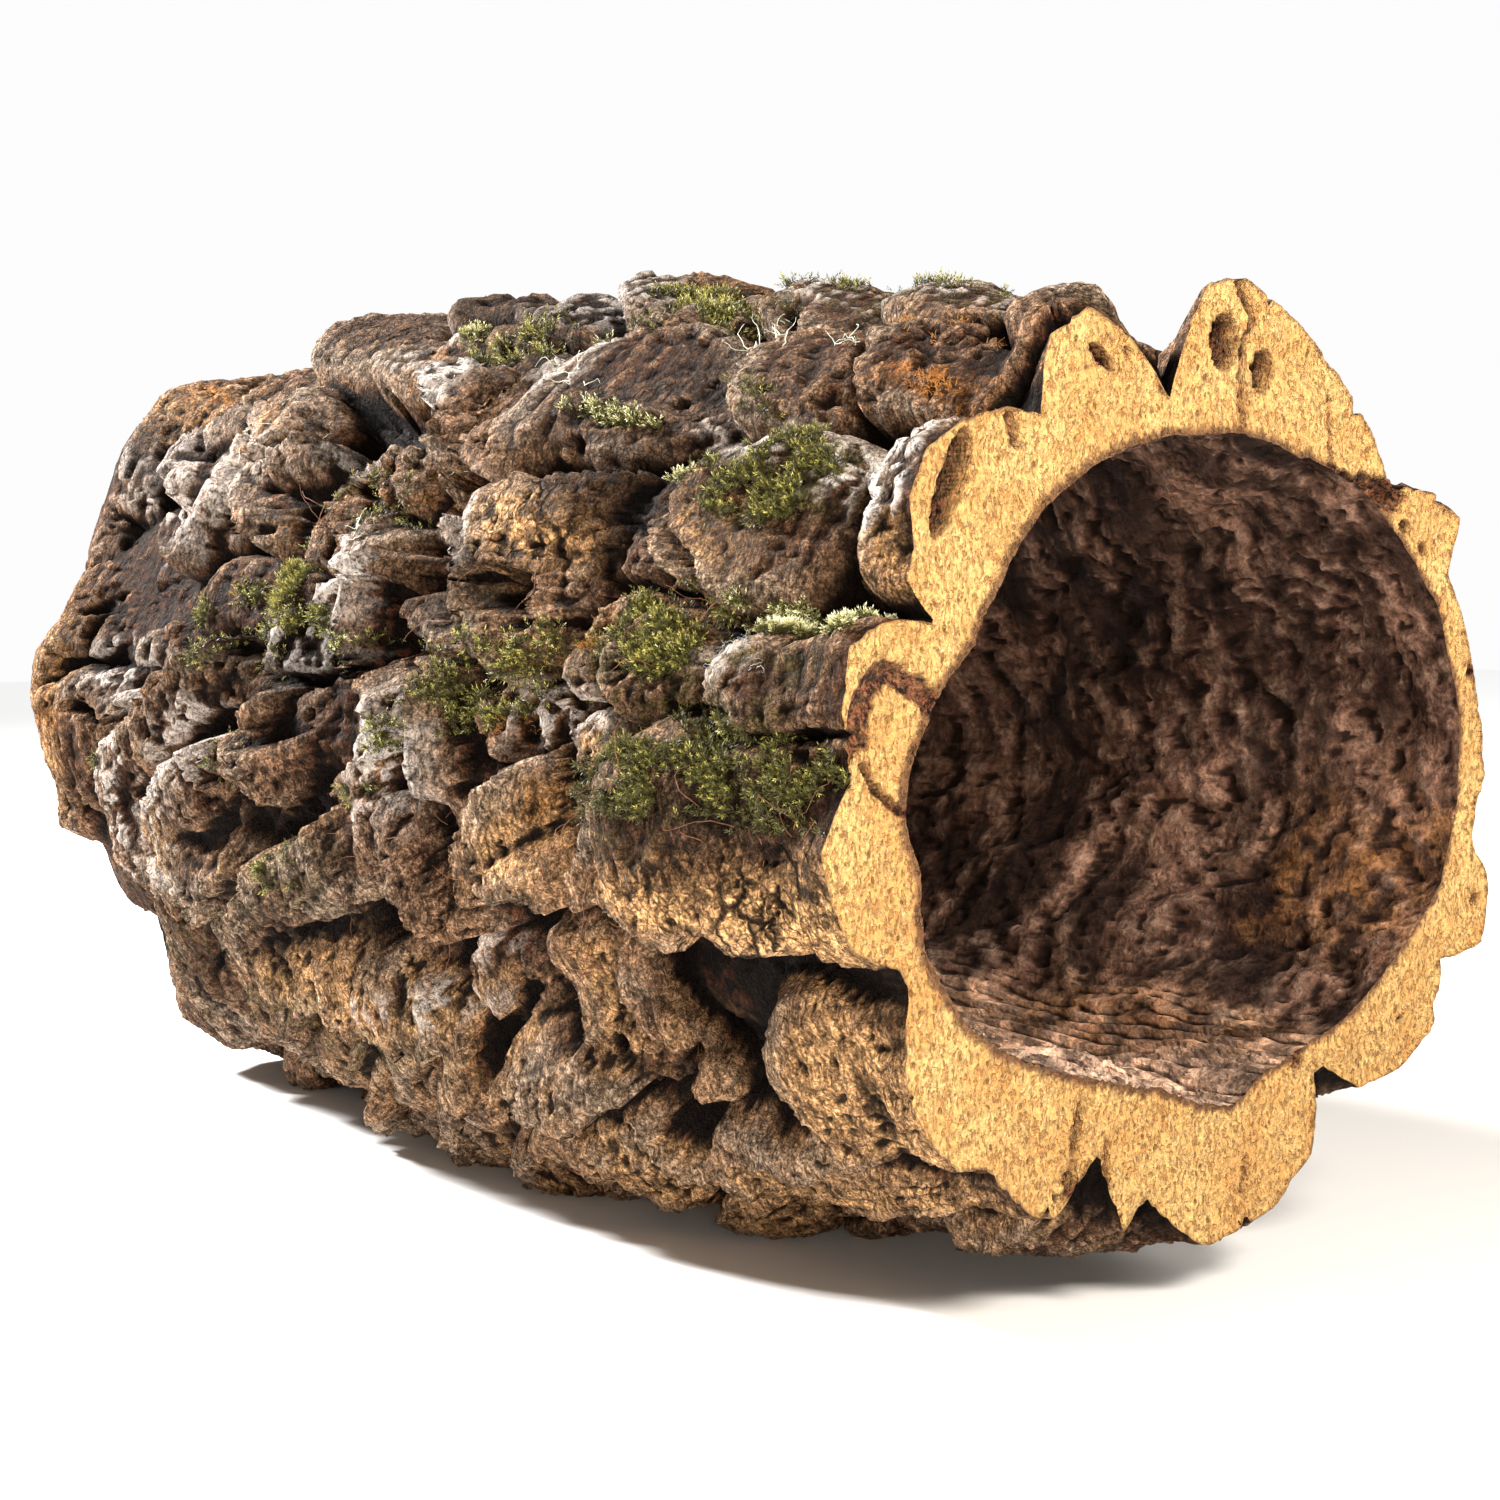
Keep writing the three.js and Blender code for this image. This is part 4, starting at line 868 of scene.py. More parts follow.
def pits(s, phi, depth_share):
    """Small holes: the named ones, and others scattered in the creases."""
    chance = np.random.default_rng(71)
    places = list(NAMED_PITS)
    for _ in range(SCATTERED_PITS):
        size = chance.uniform(0.9, 2.4)
        place_s = chance.uniform(6, LENGTH - 6)
        place_phi = chance.uniform(0, 360)
        places.append((place_s, place_phi, size, size * chance.uniform(1.2, 2.4)))
    deepest = np.zeros_like(s)
    for number, (place_s, place_phi, size, depth) in enumerate(places):
        p, q = offset(s, phi, place_s, place_phi, size, size)
        near = (np.abs(p) < 1) & (np.abs(q) < 1)
        strength = 1 if number < len(NAMED_PITS) else smooth(depth_share[near] * 3)
        inside = np.clip(1 - p[near] ** 2 - q[near] ** 2, 0, 1)
        deepest[near] = np.maximum(deepest[near], depth * strength * np.sqrt(inside))
    return deepest


def roughen(points, s, phi, lively, depth_share, layer):
    """Moves the outer skin along its normals: lumps, flakes and crumbs where it is torn, growth
    lines, grain, cracks and small holes. Gives the points and how far they moved."""
    lumps = LUMP_HEIGHT * (0.35 - np.abs(layered(LUMP_NOISE, points, 26, 4)))
    torn = smooth(2.2 * layered(LUMP_NOISE, points + 500, 34, 3, 0.6) + 0.3) * raised(0.25, lively)
    flakes = FLAKE_HEIGHT * (0.3 - np.abs(layered(LAYER_NOISE, bent(points, 5, 31, 14, 2), 9, 4, 0.62)))
    crumbs = CRUMB_HEIGHT * layered(CRACK_NOISE, points + 200, 4.2, 2, 0.6)
    grown = layer / GROWTH_LINE_STEP + 1.1 * layered(FOLD_NOISE, points, 20, 3)
    lines = GROWTH_LINE_HEIGHT * (fraction(grown) ** 0.6 - 0.6) * (1 - 0.5 * torn)
    grained = layered(FOLD_NOISE, points, (16, 3.2, 16), 3, 0.6, 90)
    strands = FINE_GRAIN_HEIGHT * (0.4 - 1.4 * np.abs(grained))
    veins = np.abs(layered(CRACK_NOISE, points, (12 / 0.45, 12, 12 / 0.45), 3, 0.55))
    cracked = smooth(layered(LUMP_NOISE, points + 90, 40, 2) * 2 + 0.4)
    cracks = CRACK_DEPTH * np.clip(1 - veins / CRACK_WIDTH, 0, 1) * cracked
    shift = lumps + (flakes + crumbs) * torn + lines + strands - cracks - pits(s, phi, depth_share)
    shift = shift * raised(0.4, smooth(s / 6)) * raised(0.4, smooth((LENGTH - s) / 6))
    move = shift[..., None] * grid_normals(points)
    move[..., 1] *= within(s, 0, LENGTH, 5)
    moved = points + move
    moved[..., 1] = np.clip(moved[..., 1], -LENGTH / 2, LENGTH / 2)
    moved[..., 2] = np.maximum(moved[..., 2], 0)
    return moved, shift


def mesh_of(name, points, faces, values=()):
    """Mesh with a value per point for each name in values."""
    mesh = bpy.data.meshes.new(name)
    mesh.vertices.add(len(points))
    mesh.vertices.foreach_set("co", (points * MM).astype(np.float32).ravel())
    mesh.loops.add(faces.size)
    mesh.loops.foreach_set("vertex_index", faces.astype(np.int32).ravel())
    mesh.polygons.add(len(faces))
    mesh.polygons.foreach_set("loop_start", np.arange(0, faces.size, faces.shape[1], dtype=np.int32))
    mesh.update(calc_edges=True)
    mesh.validate()
    mesh.polygons.foreach_set("use_smooth", np.ones(len(mesh.polygons), bool))
    for value_name, value in dict(values).items():
        layer = mesh.attributes.new(value_name, "FLOAT", "POINT")
        layer.data.foreach_set("value", value.astype(np.float32).ravel())
    return mesh


def add_piece(name, mesh, material, slot, *nodes):
    piece = bpy.data.objects.new(name, mesh)
    bpy.context.collection.objects.link(piece)
    mesh.materials.append(material)
    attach(piece, "root")
    if nodes:
        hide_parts(*nodes)
    return piece


def add_sheet(name, points, values, material, first=0, count=None, normals=None, flipped=False):
    """Adds a sheet of the bark from grids that close on themselves around the tube: count columns
    from the first on, or all of them, and the column after the last."""
    chosen = np.arange(first, first + (count or points.shape[1]) + 1)

    def cut(grid):
        return np.take(grid[::-1] if flipped else grid, chosen, axis=1, mode="wrap")

    here = np.arange(points.shape[0] * len(chosen)).reshape(points.shape[0], len(chosen))
    faces = np.stack([here[:-1, :-1], here[1:, :-1], here[1:, 1:], here[:-1, 1:]], axis=-1).reshape(-1, 4)
    values = {value_name: cut(value) for value_name, value in values.items()}
    mesh = mesh_of(name, cut(points).reshape(-1, 3), faces, values)
    if normals is not None:
        mesh.normals_split_custom_set_from_vertices(cut(normals).reshape(-1, 3).tolist())
    add_piece(name, mesh, material, "cork_bark", "cork_tube")


def put(tree, socket, value):
    """Links an output to the socket, or sets the socket's own value."""
    if isinstance(value, bpy.types.NodeSocket):
        tree.links.new(value, socket)
    elif socket.type == "RGBA":
        socket.default_value = (*value, 1)
    else:
        socket.default_value = value


def add_node(tree, kind, inputs, **settings):
    """Adds a node, with a value or a link for each socket that inputs names or numbers."""
    node = tree.nodes.new("ShaderNode" + kind)
    for name, value in settings.items():
        setattr(node, name, value)
    for name, value in inputs.items():
        put(tree, node.inputs[name], value)
    return node


class Finish:
    """A node material. Its textures are placed in mm on the object, and each coat of colour goes
    over those before it."""

    def __init__(self, name, colour):
        self.material = bpy.data.materials.new(name)
        self.material.use_nodes = True
        self.tree = self.material.node_tree
        self.shader = self.tree.nodes["Principled BSDF"]
        self.colour = colour
        self.place = self.stretched((1 / MM, 1 / MM, 1 / MM), self.add("TexCoord", {}).outputs["Object"])

    def add(self, kind, inputs, **settings):
        return add_node(self.tree, kind, inputs, **settings)

    def stretched(self, factors, place=None):
        inputs = {0: self.place if place is None else place, 1: factors}
        return self.add("VectorMath", inputs, operation="MULTIPLY").outputs["Vector"]

    def warped(self, size, strength):
        """The place moved by noise, by 0 to strength mm along each axis."""
        noise = self.add("TexNoise", {"Vector": self.place, "Scale": 1 / size, "Detail": 2})
        inputs = {0: noise.outputs["Color"], 1: (strength, strength, strength), 2: self.place}
        return self.add("VectorMath", inputs, operation="MULTIPLY_ADD").outputs["Vector"]

    def noise(self, size, detail=3.0, roughness=0.55, place=None, distortion=0.0):
        inputs = {"Vector": self.place if place is None else place, "Scale": 1 / size, "Detail": detail,
                  "Roughness": roughness, "Distortion": distortion}
        return self.add("TexNoise", inputs).outputs["Fac"]

    def cells(self, size, place, feature="DISTANCE_TO_EDGE"):
        inputs = {"Vector": place, "Scale": 1 / size}
        return self.add("TexVoronoi", inputs, feature=feature).outputs["Distance"]

    def value(self, name):
        """A value that the mesh holds at its points."""
        return self.add("Attribute", {}, attribute_name=name).outputs["Fac"]

    def math(self, operation, a, b=0.0, clamp=False):
        return self.add("Math", {0: a, 1: b}, operation=operation, use_clamp=clamp).outputs[0]

    def ramp(self, value, low, high, to_low=0.0, to_high=1.0):
        inputs = {"Value": value, "From Min": low, "From Max": high, "To Min": to_low, "To Max": to_high}
        return self.add("MapRange", inputs, interpolation_type="SMOOTHSTEP").outputs["Result"]

    def product(self, first, *others):
        for other in others:
            first = self.math("MULTIPLY", first, other)
        return first

    def total(self, *products):
        """Sum of products, each given as its factors."""
        total = self.product(*products[0])
        for factors in products[1:]:
            total = self.math("ADD", total, self.product(*factors))
        return total

    def mix(self, share, a, b, blend="MIX"):
        inputs = {"Factor": share, "A": a, "B": b}
        return self.add("Mix", inputs, data_type="RGBA", blend_type=blend).outputs["Result"]

    def coat(self, colour, *shares):
        """Covers what is there with a colour, by the product of the shares."""
        self.colour = self.mix(self.product(*shares), self.colour, colour)

    def tint(self, *factors):
        """Multiplies the colour by the factors."""
        self.colour = self.mix(1.0, self.colour, self.product(*factors), "MULTIPLY")

    def bump(self, *heights):
        """Bump from a sum of heights, each given as its factors, with mm as the last."""
        inputs = {"Strength": 1.0, "Distance": MM, "Height": self.total(*heights)}
        put(self.tree, self.shader.inputs["Normal"], self.add("Bump", inputs).outputs["Normal"])

    def finish(self, roughness, specular):
        put(self.tree, self.shader.inputs["Base Color"], self.colour)
        put(self.tree, self.shader.inputs["Roughness"], roughness)
        self.shader.inputs["Specular IOR Level"].default_value = specular
        return self.material


BARK_DARK = (0.006, 0.0035, 0.0025)
BARK_BROWN = (0.068, 0.030, 0.015)
BARK_GREY = (0.10, 0.058, 0.035)
BARK_TAN = (0.78, 0.44, 0.19)
BARK_ORANGE = (0.42, 0.17, 0.038)
BARK_CREST_HIGHLIGHT = (0.80, 0.73, 0.67)
BARK_WORN_AND_HIGHLIGHT = (0.31, 0.182, 0.105)
BARK_BLEACHED_AND_HIGHLIGHT = (0.30, 0.24, 0.18)
BARK_GREEN = (0.065, 0.062, 0.016)
BARK_ROTTEN = (0.15, 0.055, 0.028)
SOOT_AND_SHADE_TINT = (0.12, 0.10, 0.085)
COLOUR_LINE_STEP = 1.9


def bark_finish():
    look = Finish("cork_bark_outside", BARK_BROWN)
    ridge = look.value("ridge")
    crest = look.value("crest")
    cracked = look.value("cracked")
    broad = look.noise(26, 4, 0.6)
    medium = look.noise(6, 4, 0.62)
    fine = look.noise(1.7, 4, 0.7)
    grit = look.noise(0.6, 2, 0.6)
    look.coat(BARK_GREY, look.ramp(broad, 0.4, 0.62))
    look.coat(BARK_TAN, look.value("tan"), look.ramp(medium, 0.28, 0.6, 0.35), 0.9)
    look.coat(BARK_ORANGE, look.value("orange"), look.ramp(look.noise(4, 4, 0.6), 0.36, 0.6), 0.8)
    # Raised edges and crests are lighter: partly worn and bleached bark, and partly a painted highlight
    # where light catches them.
    look.coat(BARK_WORN_AND_HIGHLIGHT, look.ramp(ridge, 0.55, 0.9, 0, 0.5))
    bleached_and_highlight = look.mix(look.ramp(broad, 0.4, 0.6), BARK_WORN_AND_HIGHLIGHT, BARK_BLEACHED_AND_HIGHLIGHT)
    look.coat(bleached_and_highlight, look.ramp(crest, 0.66, 1.0), look.ramp(fine, 0.35, 0.6, 0.1, 0.6))
    look.coat(BARK_GREEN, look.value("green"), look.ramp(look.noise(7, 5, 0.65), 0.40, 0.62), 0.75)
    look.tint(look.ramp(fine, 0.3, 0.7, 0.5, 1.6), look.ramp(grit, 0.35, 0.65, 0.6, 1.5),
              look.ramp(medium, 0.3, 0.7, 0.72, 1.25))

    edges = look.cells(6.5, look.stretched((0.6, 1, 0.6), look.warped(4, 5)))
    here = look.ramp(look.noise(15, 2), 0.40, 0.54)
    crack = look.product(look.ramp(edges, 0.02, 0.13, 1, 0), here, cracked)
    edges = look.cells(2.6, look.warped(2.4, 1.6))
    here = look.ramp(look.noise(9, 2), 0.30, 0.48)
    craze = look.product(look.ramp(edges, 0, 0.14, 1, 0), here, cracked)
    strand = look.noise(1.0, 4, 0.7, look.stretched((0.24, 1, 0.24), look.warped(9, 4)))
    strand = look.product(look.ramp(strand, 0.36, 0.5, 1, 0), look.math("SUBTRACT", 1.15, cracked, True))
    look.coat(BARK_DARK, strand, 0.62)
    look.coat(BARK_DARK, crack, 0.95)
    look.coat(BARK_DARK, craze, 0.7)
    waves = look.total((look.value("layer"), 2 * math.pi / COLOUR_LINE_STEP), (look.noise(7, 3), 14))
    lines = look.math("SINE", waves)
    line_share = look.ramp(look.noise(18, 2), 0.42, 0.62)
    look.coat(BARK_DARK, look.ramp(lines, -1.0, -0.2, 0.4, 0), line_share)

    # Painted shade: deep places, creases, gaps behind fold edges, hollows and places lower than their
    # surroundings are painted dark, with some reddish rot among the dark of the deep ones.
    rot_and_shade = look.mix(look.ramp(look.noise(3.4, 4, 0.65), 0.46, 0.62), BARK_DARK, BARK_ROTTEN)
    look.coat(rot_and_shade, look.ramp(look.value("depth"), 0.3, 0.8, 0, 0.94))
    look.coat(rot_and_shade, look.ramp(look.value("crease"), 0.1, 0.6, 0, 0.97))
    look.coat(BARK_DARK, look.ramp(crest, 0.2, 0.52, 0.97, 0))
    look.coat(BARK_DARK, look.ramp(ridge, 0.12, 0.52, 0.93, 0))
    look.coat(BARK_DARK, look.ramp(look.value("bowl"), 0.16, 0.52, 0.9, 0))
    # Darker in these places: sooty bark, and painted shade in the hollows and gaps.
    look.coat(look.mix(1.0, look.colour, SOOT_AND_SHADE_TINT, "MULTIPLY"), look.value("sooty"), 0.9)
    # Painted highlight: whitish light on the crests and ridges in these places.
    look.coat(BARK_CREST_HIGHLIGHT, look.value("pale"), look.ramp(ridge, 0.5, 0.8), look.ramp(crest, 0.45, 0.68),
              look.ramp(fine, 0.33, 0.5), 0.9)
    flakes = look.math("ABSOLUTE", look.math("SUBTRACT", look.noise(4.2, 4, 0.68, distortion=0.6), 0.5))
    look.coat(BARK_DARK, look.ramp(flakes, 0, 0.05, 0.6, 0))
    look.bump((medium, 1.6), (flakes, 3.2), (fine, 1.5), (grit, 0.45), (lines, line_share, 0.2),
              (crack, -2.2), (craze, -0.45), (strand, -0.7))
    return look.finish(look.ramp(fine, 0.3, 0.7, 0.65, 0.95), 0.06)


INSIDE_BROWN = (0.10, 0.050, 0.034)
INSIDE_LIGHT = (0.26, 0.14, 0.094)
INSIDE_DUSTY = (0.36, 0.24, 0.17)
INSIDE_RIDGE = (0.34, 0.22, 0.16)
INSIDE_STREAK = (0.02, 0.010, 0.007)
INSIDE_CHARRED = (0.012, 0.006, 0.005)
INSIDE_FLOOR_LIT = (0.98, 0.66, 0.48)
INSIDE_WARM = (0.70, 0.31, 0.10)
INSIDE_GAP_SHADE = (0.008, 0.004, 0.003)
INSIDE_SEAM = (0.05, 0.02, 0.012)


def inside_finish():
    look = Finish("cork_bark_inside", INSIDE_BROWN)
    ridge = look.value("ridge")
    medium = look.noise(6, 5, 0.65)
    fine = look.noise(1.6, 4, 0.7)
    look.coat(INSIDE_LIGHT, look.ramp(look.noise(30, 3, 0.6), 0.38, 0.62))
    look.coat(INSIDE_DUSTY, look.ramp(medium, 0.5, 0.75, 0, 0.6))
    look.coat(INSIDE_RIDGE, look.ramp(ridge, 0.55, 0.95, 0, 0.6))
    streaks = look.noise(9, 4, 0.6, look.stretched((0.45, 1, 0.3), look.warped(20, 10)))
    look.coat(INSIDE_STREAK, look.ramp(streaks, 0.4, 0.56, 0.8, 0))
    charred = look.noise(26, 4, 0.62, look.stretched((0.5, 1.2, 0.45), look.warped(30, 14)))
    look.coat(INSIDE_CHARRED, look.ramp(charred, 0.42, 0.53, 0.85, 0))
    # The floor of the hollow is painted lighter, and its tint raised: partly its own lighter colour, and
    # partly a painted pool of light.
    floor = look.product(look.value("floor"), look.ramp(medium, 0.3, 0.6, 0.6))
    look.coat(INSIDE_FLOOR_LIT, floor)
    look.coat(INSIDE_WARM, look.value("warm"), look.ramp(medium, 0.35, 0.65))
    mottle = (look.ramp(fine, 0.25, 0.75, 0.4, 1.65), look.ramp(medium, 0.3, 0.7, 0.6, 1.3))
    look.tint(look.total(mottle, (floor, 0.5)))
    # Painted shade: the inside is painted dark where it lies lower than its surroundings, less so on the
    # floor.
    look.coat(INSIDE_GAP_SHADE, look.ramp(ridge, 0.1, 0.48, 0.9, 0), look.ramp(floor, 0, 1, 1, 0.75))
    seams = look.noise(2.2, 4, 0.65, look.stretched((1, 0.3, 1), look.warped(20, 6)))
    seam = look.product(look.ramp(seams, 0.38, 0.5, 1, 0), floor)
    look.coat(INSIDE_SEAM, seam, 0.8)
    look.bump((medium, 2.2), (fine, 1.6), (seam, -1.2))
    return look.finish(look.ramp(fine, 0.3, 0.7, 0.65, 0.95), 0.1)


FACE_TAN = (0.49, 0.265, 0.086)
FACE_LIGHT = (0.59, 0.375, 0.14)
FACE_WARM = (0.60, 0.31, 0.10)
FACE_GRAIN = (0.80, 0.55, 0.26)
FACE_DASH = (0.40, 0.17, 0.045)
FACE_PORE = (0.23, 0.105, 0.033)
FACE_RIM = (0.13, 0.06, 0.028)
FACE_SKIN = (0.20, 0.115, 0.055)
HOLE_SHADE_DARK = (0.02, 0.009, 0.006)
HOLE_SHADE_LIGHT = (0.20, 0.075, 0.036)


def face_finish(name, tint):
    look = Finish(name, FACE_TAN)
    medium = look.noise(3.2, 4, 0.6)
    fine = look.noise(0.9, 3, 0.65)
    look.coat(FACE_LIGHT, look.ramp(look.noise(16, 4, 0.6), 0.36, 0.64))
    look.coat(FACE_WARM, look.ramp(medium, 0.42, 0.72, 0, 0.5))
    dashes = look.noise(0.85, 2, 0.5, look.stretched((1, 1, 0.42), look.warped(9, 3)))
    dash = look.product(look.ramp(dashes, 0.53, 0.62), look.ramp(look.noise(5, 2), 0.34, 0.55, 0.35))
    grain = look.ramp(look.noise(1.1, 3, 0.6, look.stretched((1, 1, 0.6))), 0.50, 0.66)
    dots = look.cells(2.1, look.stretched((1, 1, 0.5), look.warped(6, 2)), "F1")
    dot = look.product(look.ramp(dots, 0.1, 0.24, 1, 0), look.ramp(look.noise(3.1, 2), 0.42, 0.58))
    look.coat(FACE_GRAIN, grain, 0.4)
    look.coat(FACE_DASH, dash, 0.62)
    look.coat(FACE_PORE, dot, 0.9)
    look.tint(look.ramp(fine, 0.25, 0.75, 0.74, 1.24))
    look.tint(tint)
    rim = look.total((look.value("from_inside"), 1), (look.noise(3, 4, 0.7), -4.5))
    look.coat(FACE_RIM, look.ramp(rim, -1.6, 0.3, 0.92, 0))
    skin = look.total((look.value("from_outside"), 1), (look.noise(2.5, 3), 1.6))
    look.coat(FACE_SKIN, look.ramp(skin, 0.7, 1.7, 0.75, 0))
    # Painted shade: the holes and cracks of the face are painted dark brown to near black.
    hole_shade = look.mix(look.ramp(look.noise(1.3, 3), 0.42, 0.58), HOLE_SHADE_DARK, HOLE_SHADE_LIGHT)
    look.coat(hole_shade, look.value("dark"), look.ramp(medium, 0.2, 0.7, 1.2, 0.85))
    look.bump((medium, 1.9), (fine, 1.0), (grain, 0.7), (dash, -1.5), (dot, -1.2))
    return look.finish(look.ramp(fine, 0.3, 0.7, 0.7, 0.9), 0.2)


MOSS_SHADE = (0.03, 0.02, 0.008)
MOSS_DARK = (0.066, 0.062, 0.013)
MOSS_LIGHT = (0.60, 0.55, 0.13)
MOSS_PALE_HIGHLIGHT = (0.97, 0.98, 0.72)


def moss_finish():
    look = Finish("moss", MOSS_SHADE)
    tip = look.value("tip")
    tone = look.value("tone")
    # Shoots go from dark at the base to light and pale at the tips: partly the moss's own colour, and
    # partly painted shade low down and a painted highlight on the tips.
    look.coat(MOSS_DARK, look.ramp(tip, 0, 0.45))
    look.coat(MOSS_LIGHT, look.ramp(tip, 0.3, 0.85), look.ramp(tone, 0.1, 0.8, 0.05))
    look.coat(MOSS_PALE_HIGHLIGHT, look.ramp(tip, 0.4, 0.9), look.ramp(tone, 1.0, 1.6))
    return look.finish(0.6, 0.3)


def fibre_finish(name, colour, roughness):
    look = Finish(name, colour)
    look.tint(look.ramp(look.noise(2.5, 2), 0.3, 0.7, 0.6, 1.3))
    return look.finish(roughness, 0.3)


class Skin:
    """The outer skin: grids of places, points, normals and values, the columns going round the tube."""

    def __init__(self):
        shown = np.linspace(SEAM_TOP, SEAM_UNDER, STEPS_SHOWN, endpoint=False)
        far = np.linspace(SEAM_UNDER, SEAM_TOP + 360, STEPS_FAR, endpoint=False)
        self.phi_line = np.concatenate([shown, far]) % 360
        self.s, self.phi = np.meshgrid(np.linspace(0, LENGTH, ROWS_OUTSIDE), self.phi_line, indexing="ij")
        radius, crease, layer, lively = bark_radius(self.s, self.phi)
        self.depth = np.clip((girth(self.s, self.phi) - radius) / RELIEF, 0, 1.3)
        leaned = lean(self.s, self.phi, radius)
        self.points, shift = roughen(leaned, self.s, self.phi, lively, self.depth, layer)
        self.normals = grid_normals(self.points)
        self.clump = layered(FOLD_NOISE, self.points + 700, 9, 2, 0.6)
        total = radius + shift
        # depth, crease, ridge, crest and bowl paint the bark darker in low places, as painted shade; ridge
        # and crest also paint it lighter on raised places, partly wear and partly a painted highlight.
        self.values = {"depth": self.depth, "crease": crease, "layer": layer}
        for name, reach, height in (("ridge", 2, 1.7), ("crest", 8, 8), ("bowl", 18, 18)):
            self.values[name] = raised_share(total, reach, height)
        for name, places in COLOUR_PLACES.items():
            self.values[name] = places_share(self.s, self.phi, places)


def make_outside(skin):
    material = bark_finish()
    sides = (("bark_shown_side", 0, STEPS_SHOWN), ("bark_far_side", STEPS_SHOWN, STEPS_FAR))
    for name, first, count in sides:
        add_sheet(name, skin.points, skin.values, material, first, count, skin.normals)


def inside_grid(skin):
    """Places and points of the rough inside, from the front to the rear, and their relief."""
    share = np.linspace(0, 1, ROWS_INSIDE) ** INSIDE_ROW_CURVE
    s, phi = np.meshgrid(share * LENGTH, skin.phi_line, indexing="ij")
    shell = unrolled(s, phi)
    floor = within(phi, FLOOR_FROM, FLOOR_TO, FLOOR_BLEND)
    near_front = 1 - smooth((s - FLOOR_REACH) / FLOOR_FADE)
    bends = bent(shell, 9, 0, 24, 3)
    clods = CLOD_HEIGHT * (0.42 - np.abs(layered(BORE_NOISE, bends, (21 / 0.62, 21, 21 / 0.62), 5, 0.6)))
    lumps = INSIDE_LUMP_HEIGHT * layered(BORE_NOISE, shell + 300, 6, 3, 0.65)
    strata = arc(phi) / STRATA_STEP + 1.6 * layered(LAYER_NOISE, shell, (30, 75, 30), 4, 0.55)
    steps = STRATA_HEIGHT * floor * (0.5 - fraction(strata) ** 1.5) * raised(0.25, near_front)
    shift = (clods + lumps) * (1 - 0.75 * floor * near_front) + steps
    radius = bore_radius(s, phi) - shift * raised(0.25, smooth(s / 8))
    return s, phi, place(s, phi, radius), shift


def make_inside(skin):
    s, phi, points, shift = inside_grid(skin)
    values = {
        "ridge": raised_share(shift, 2, 2.2),
        "warm": places_share(s, phi, WARM_PLACES),
        "floor": places_share(s, phi, FLOOR_PLACES),
    }
    add_sheet("bark_inside", points, values, inside_finish(), flipped=True)
    return points


def face_depth(points):
    """Depth of the holes and cracks in the front face, and how dark they are painted there, as painted
    shade.
    """
    x = points[..., 0]
    height = points[..., 2] - AXIS_HEIGHT
    ragged = 0.35 * layered(CRACK_NOISE, points, 2.2, 2)
    deepest = np.zeros_like(x)
    dark = np.zeros_like(x)
    for phi, radius, outwards, around, depth, tilt in FACE_HOLES:
        turn = math.radians(phi)
        dx = x - radius * math.cos(turn)
        dh = height - radius * math.sin(turn)
        p, q = turned(dx, dh, math.radians(phi + tilt))
        r2 = (p / outwards) ** 2 + (q / around) ** 2
        deepest = np.maximum(deepest, depth * np.sqrt(np.clip(1 - r2, 0, 1)))
        dark = np.maximum(dark, smooth((1.25 - r2) * 2.5))
    for depth, half_width, line in FACE_LINES:
        for (x0, h0), (x1, h1) in zip(line, line[1:]):
            u, v, _ = off_line(x - x0, height - h0, x1 - x0, h1 - h0)
            distance = np.hypot(u, v) + half_width * ragged
            deepest = np.maximum(deepest, depth * np.clip(1 - distance / half_width, 0, 1) ** 0.6)
            dark = np.maximum(dark, smooth((half_width * 1.1 - distance) / 0.7))
    for hole_x, hole_h, size in SMALL_FACE_HOLES:
        r2 = ((x - hole_x) ** 2 + (height - hole_h) ** 2) / size ** 2
        deepest = np.maximum(deepest, 2.5 * size * np.sqrt(np.clip(1 - r2, 0, 1)))
        dark = np.maximum(dark, smooth((1.2 - r2) * 2))
    return deepest, dark


def make_face(name, inner, outer, rows, material, front):
    """A sawn face, from the edge of the hollow to the outside of the bark."""
    share = np.linspace(0, 1, rows)[:, None, None]
    points = inner * (1 - share) + outer * share
    wall = np.linalg.norm(outer - inner, axis=-1)
    from_inside = wall * share[..., 0]
    from_outside = wall * (1 - share[..., 0])
    dark = np.zeros_like(from_inside)
    if front:
        depth, dark = face_depth(points)
        rough = FACE_ROUGHNESS * (1 + layered(LUMP_NOISE, points, 6, 4, 0.65))
        free = smooth(from_inside / FACE_RIM_WIDTH) * smooth(from_outside / FACE_RIM_WIDTH)
        points[..., 1] += np.clip(depth + rough, 0, None) * free
    values = {"from_inside": from_inside, "from_outside": from_outside, "dark": dark}
    add_sheet(name, points, values, material, flipped=not front)


def spots(skin, site, count, clumps, chance):
    """Places on the bark picked at random near a site, most at its middle, in clumps, and few in the
    gaps: points and outward directions."""
    clumped = smooth(0.15 + 2.6 * clumps * skin.clump)
    share = smooth((1.05 - np.hypot(*offset(skin.s, skin.phi, *site))) * 3)
    share = share * clumped * raised(0.12, smooth((0.62 - skin.depth) * 4)) + 1e-12
    pick = chance.choice(share.size, count, p=share.ravel() / share.sum())
    row, column = np.unravel_index(pick, share.shape)
    row = np.minimum(row, share.shape[0] - 2)
    after = (column + 1) % share.shape[1]
    down, across = chance.random((2, count, 1))
    points = ((skin.points[row, column] * (1 - across) + skin.points[row, after] * across) * (1 - down)
              + (skin.points[row + 1, column] * (1 - across) + skin.points[row + 1, after] * across) * down)
    return points, skin.normals[row, column]


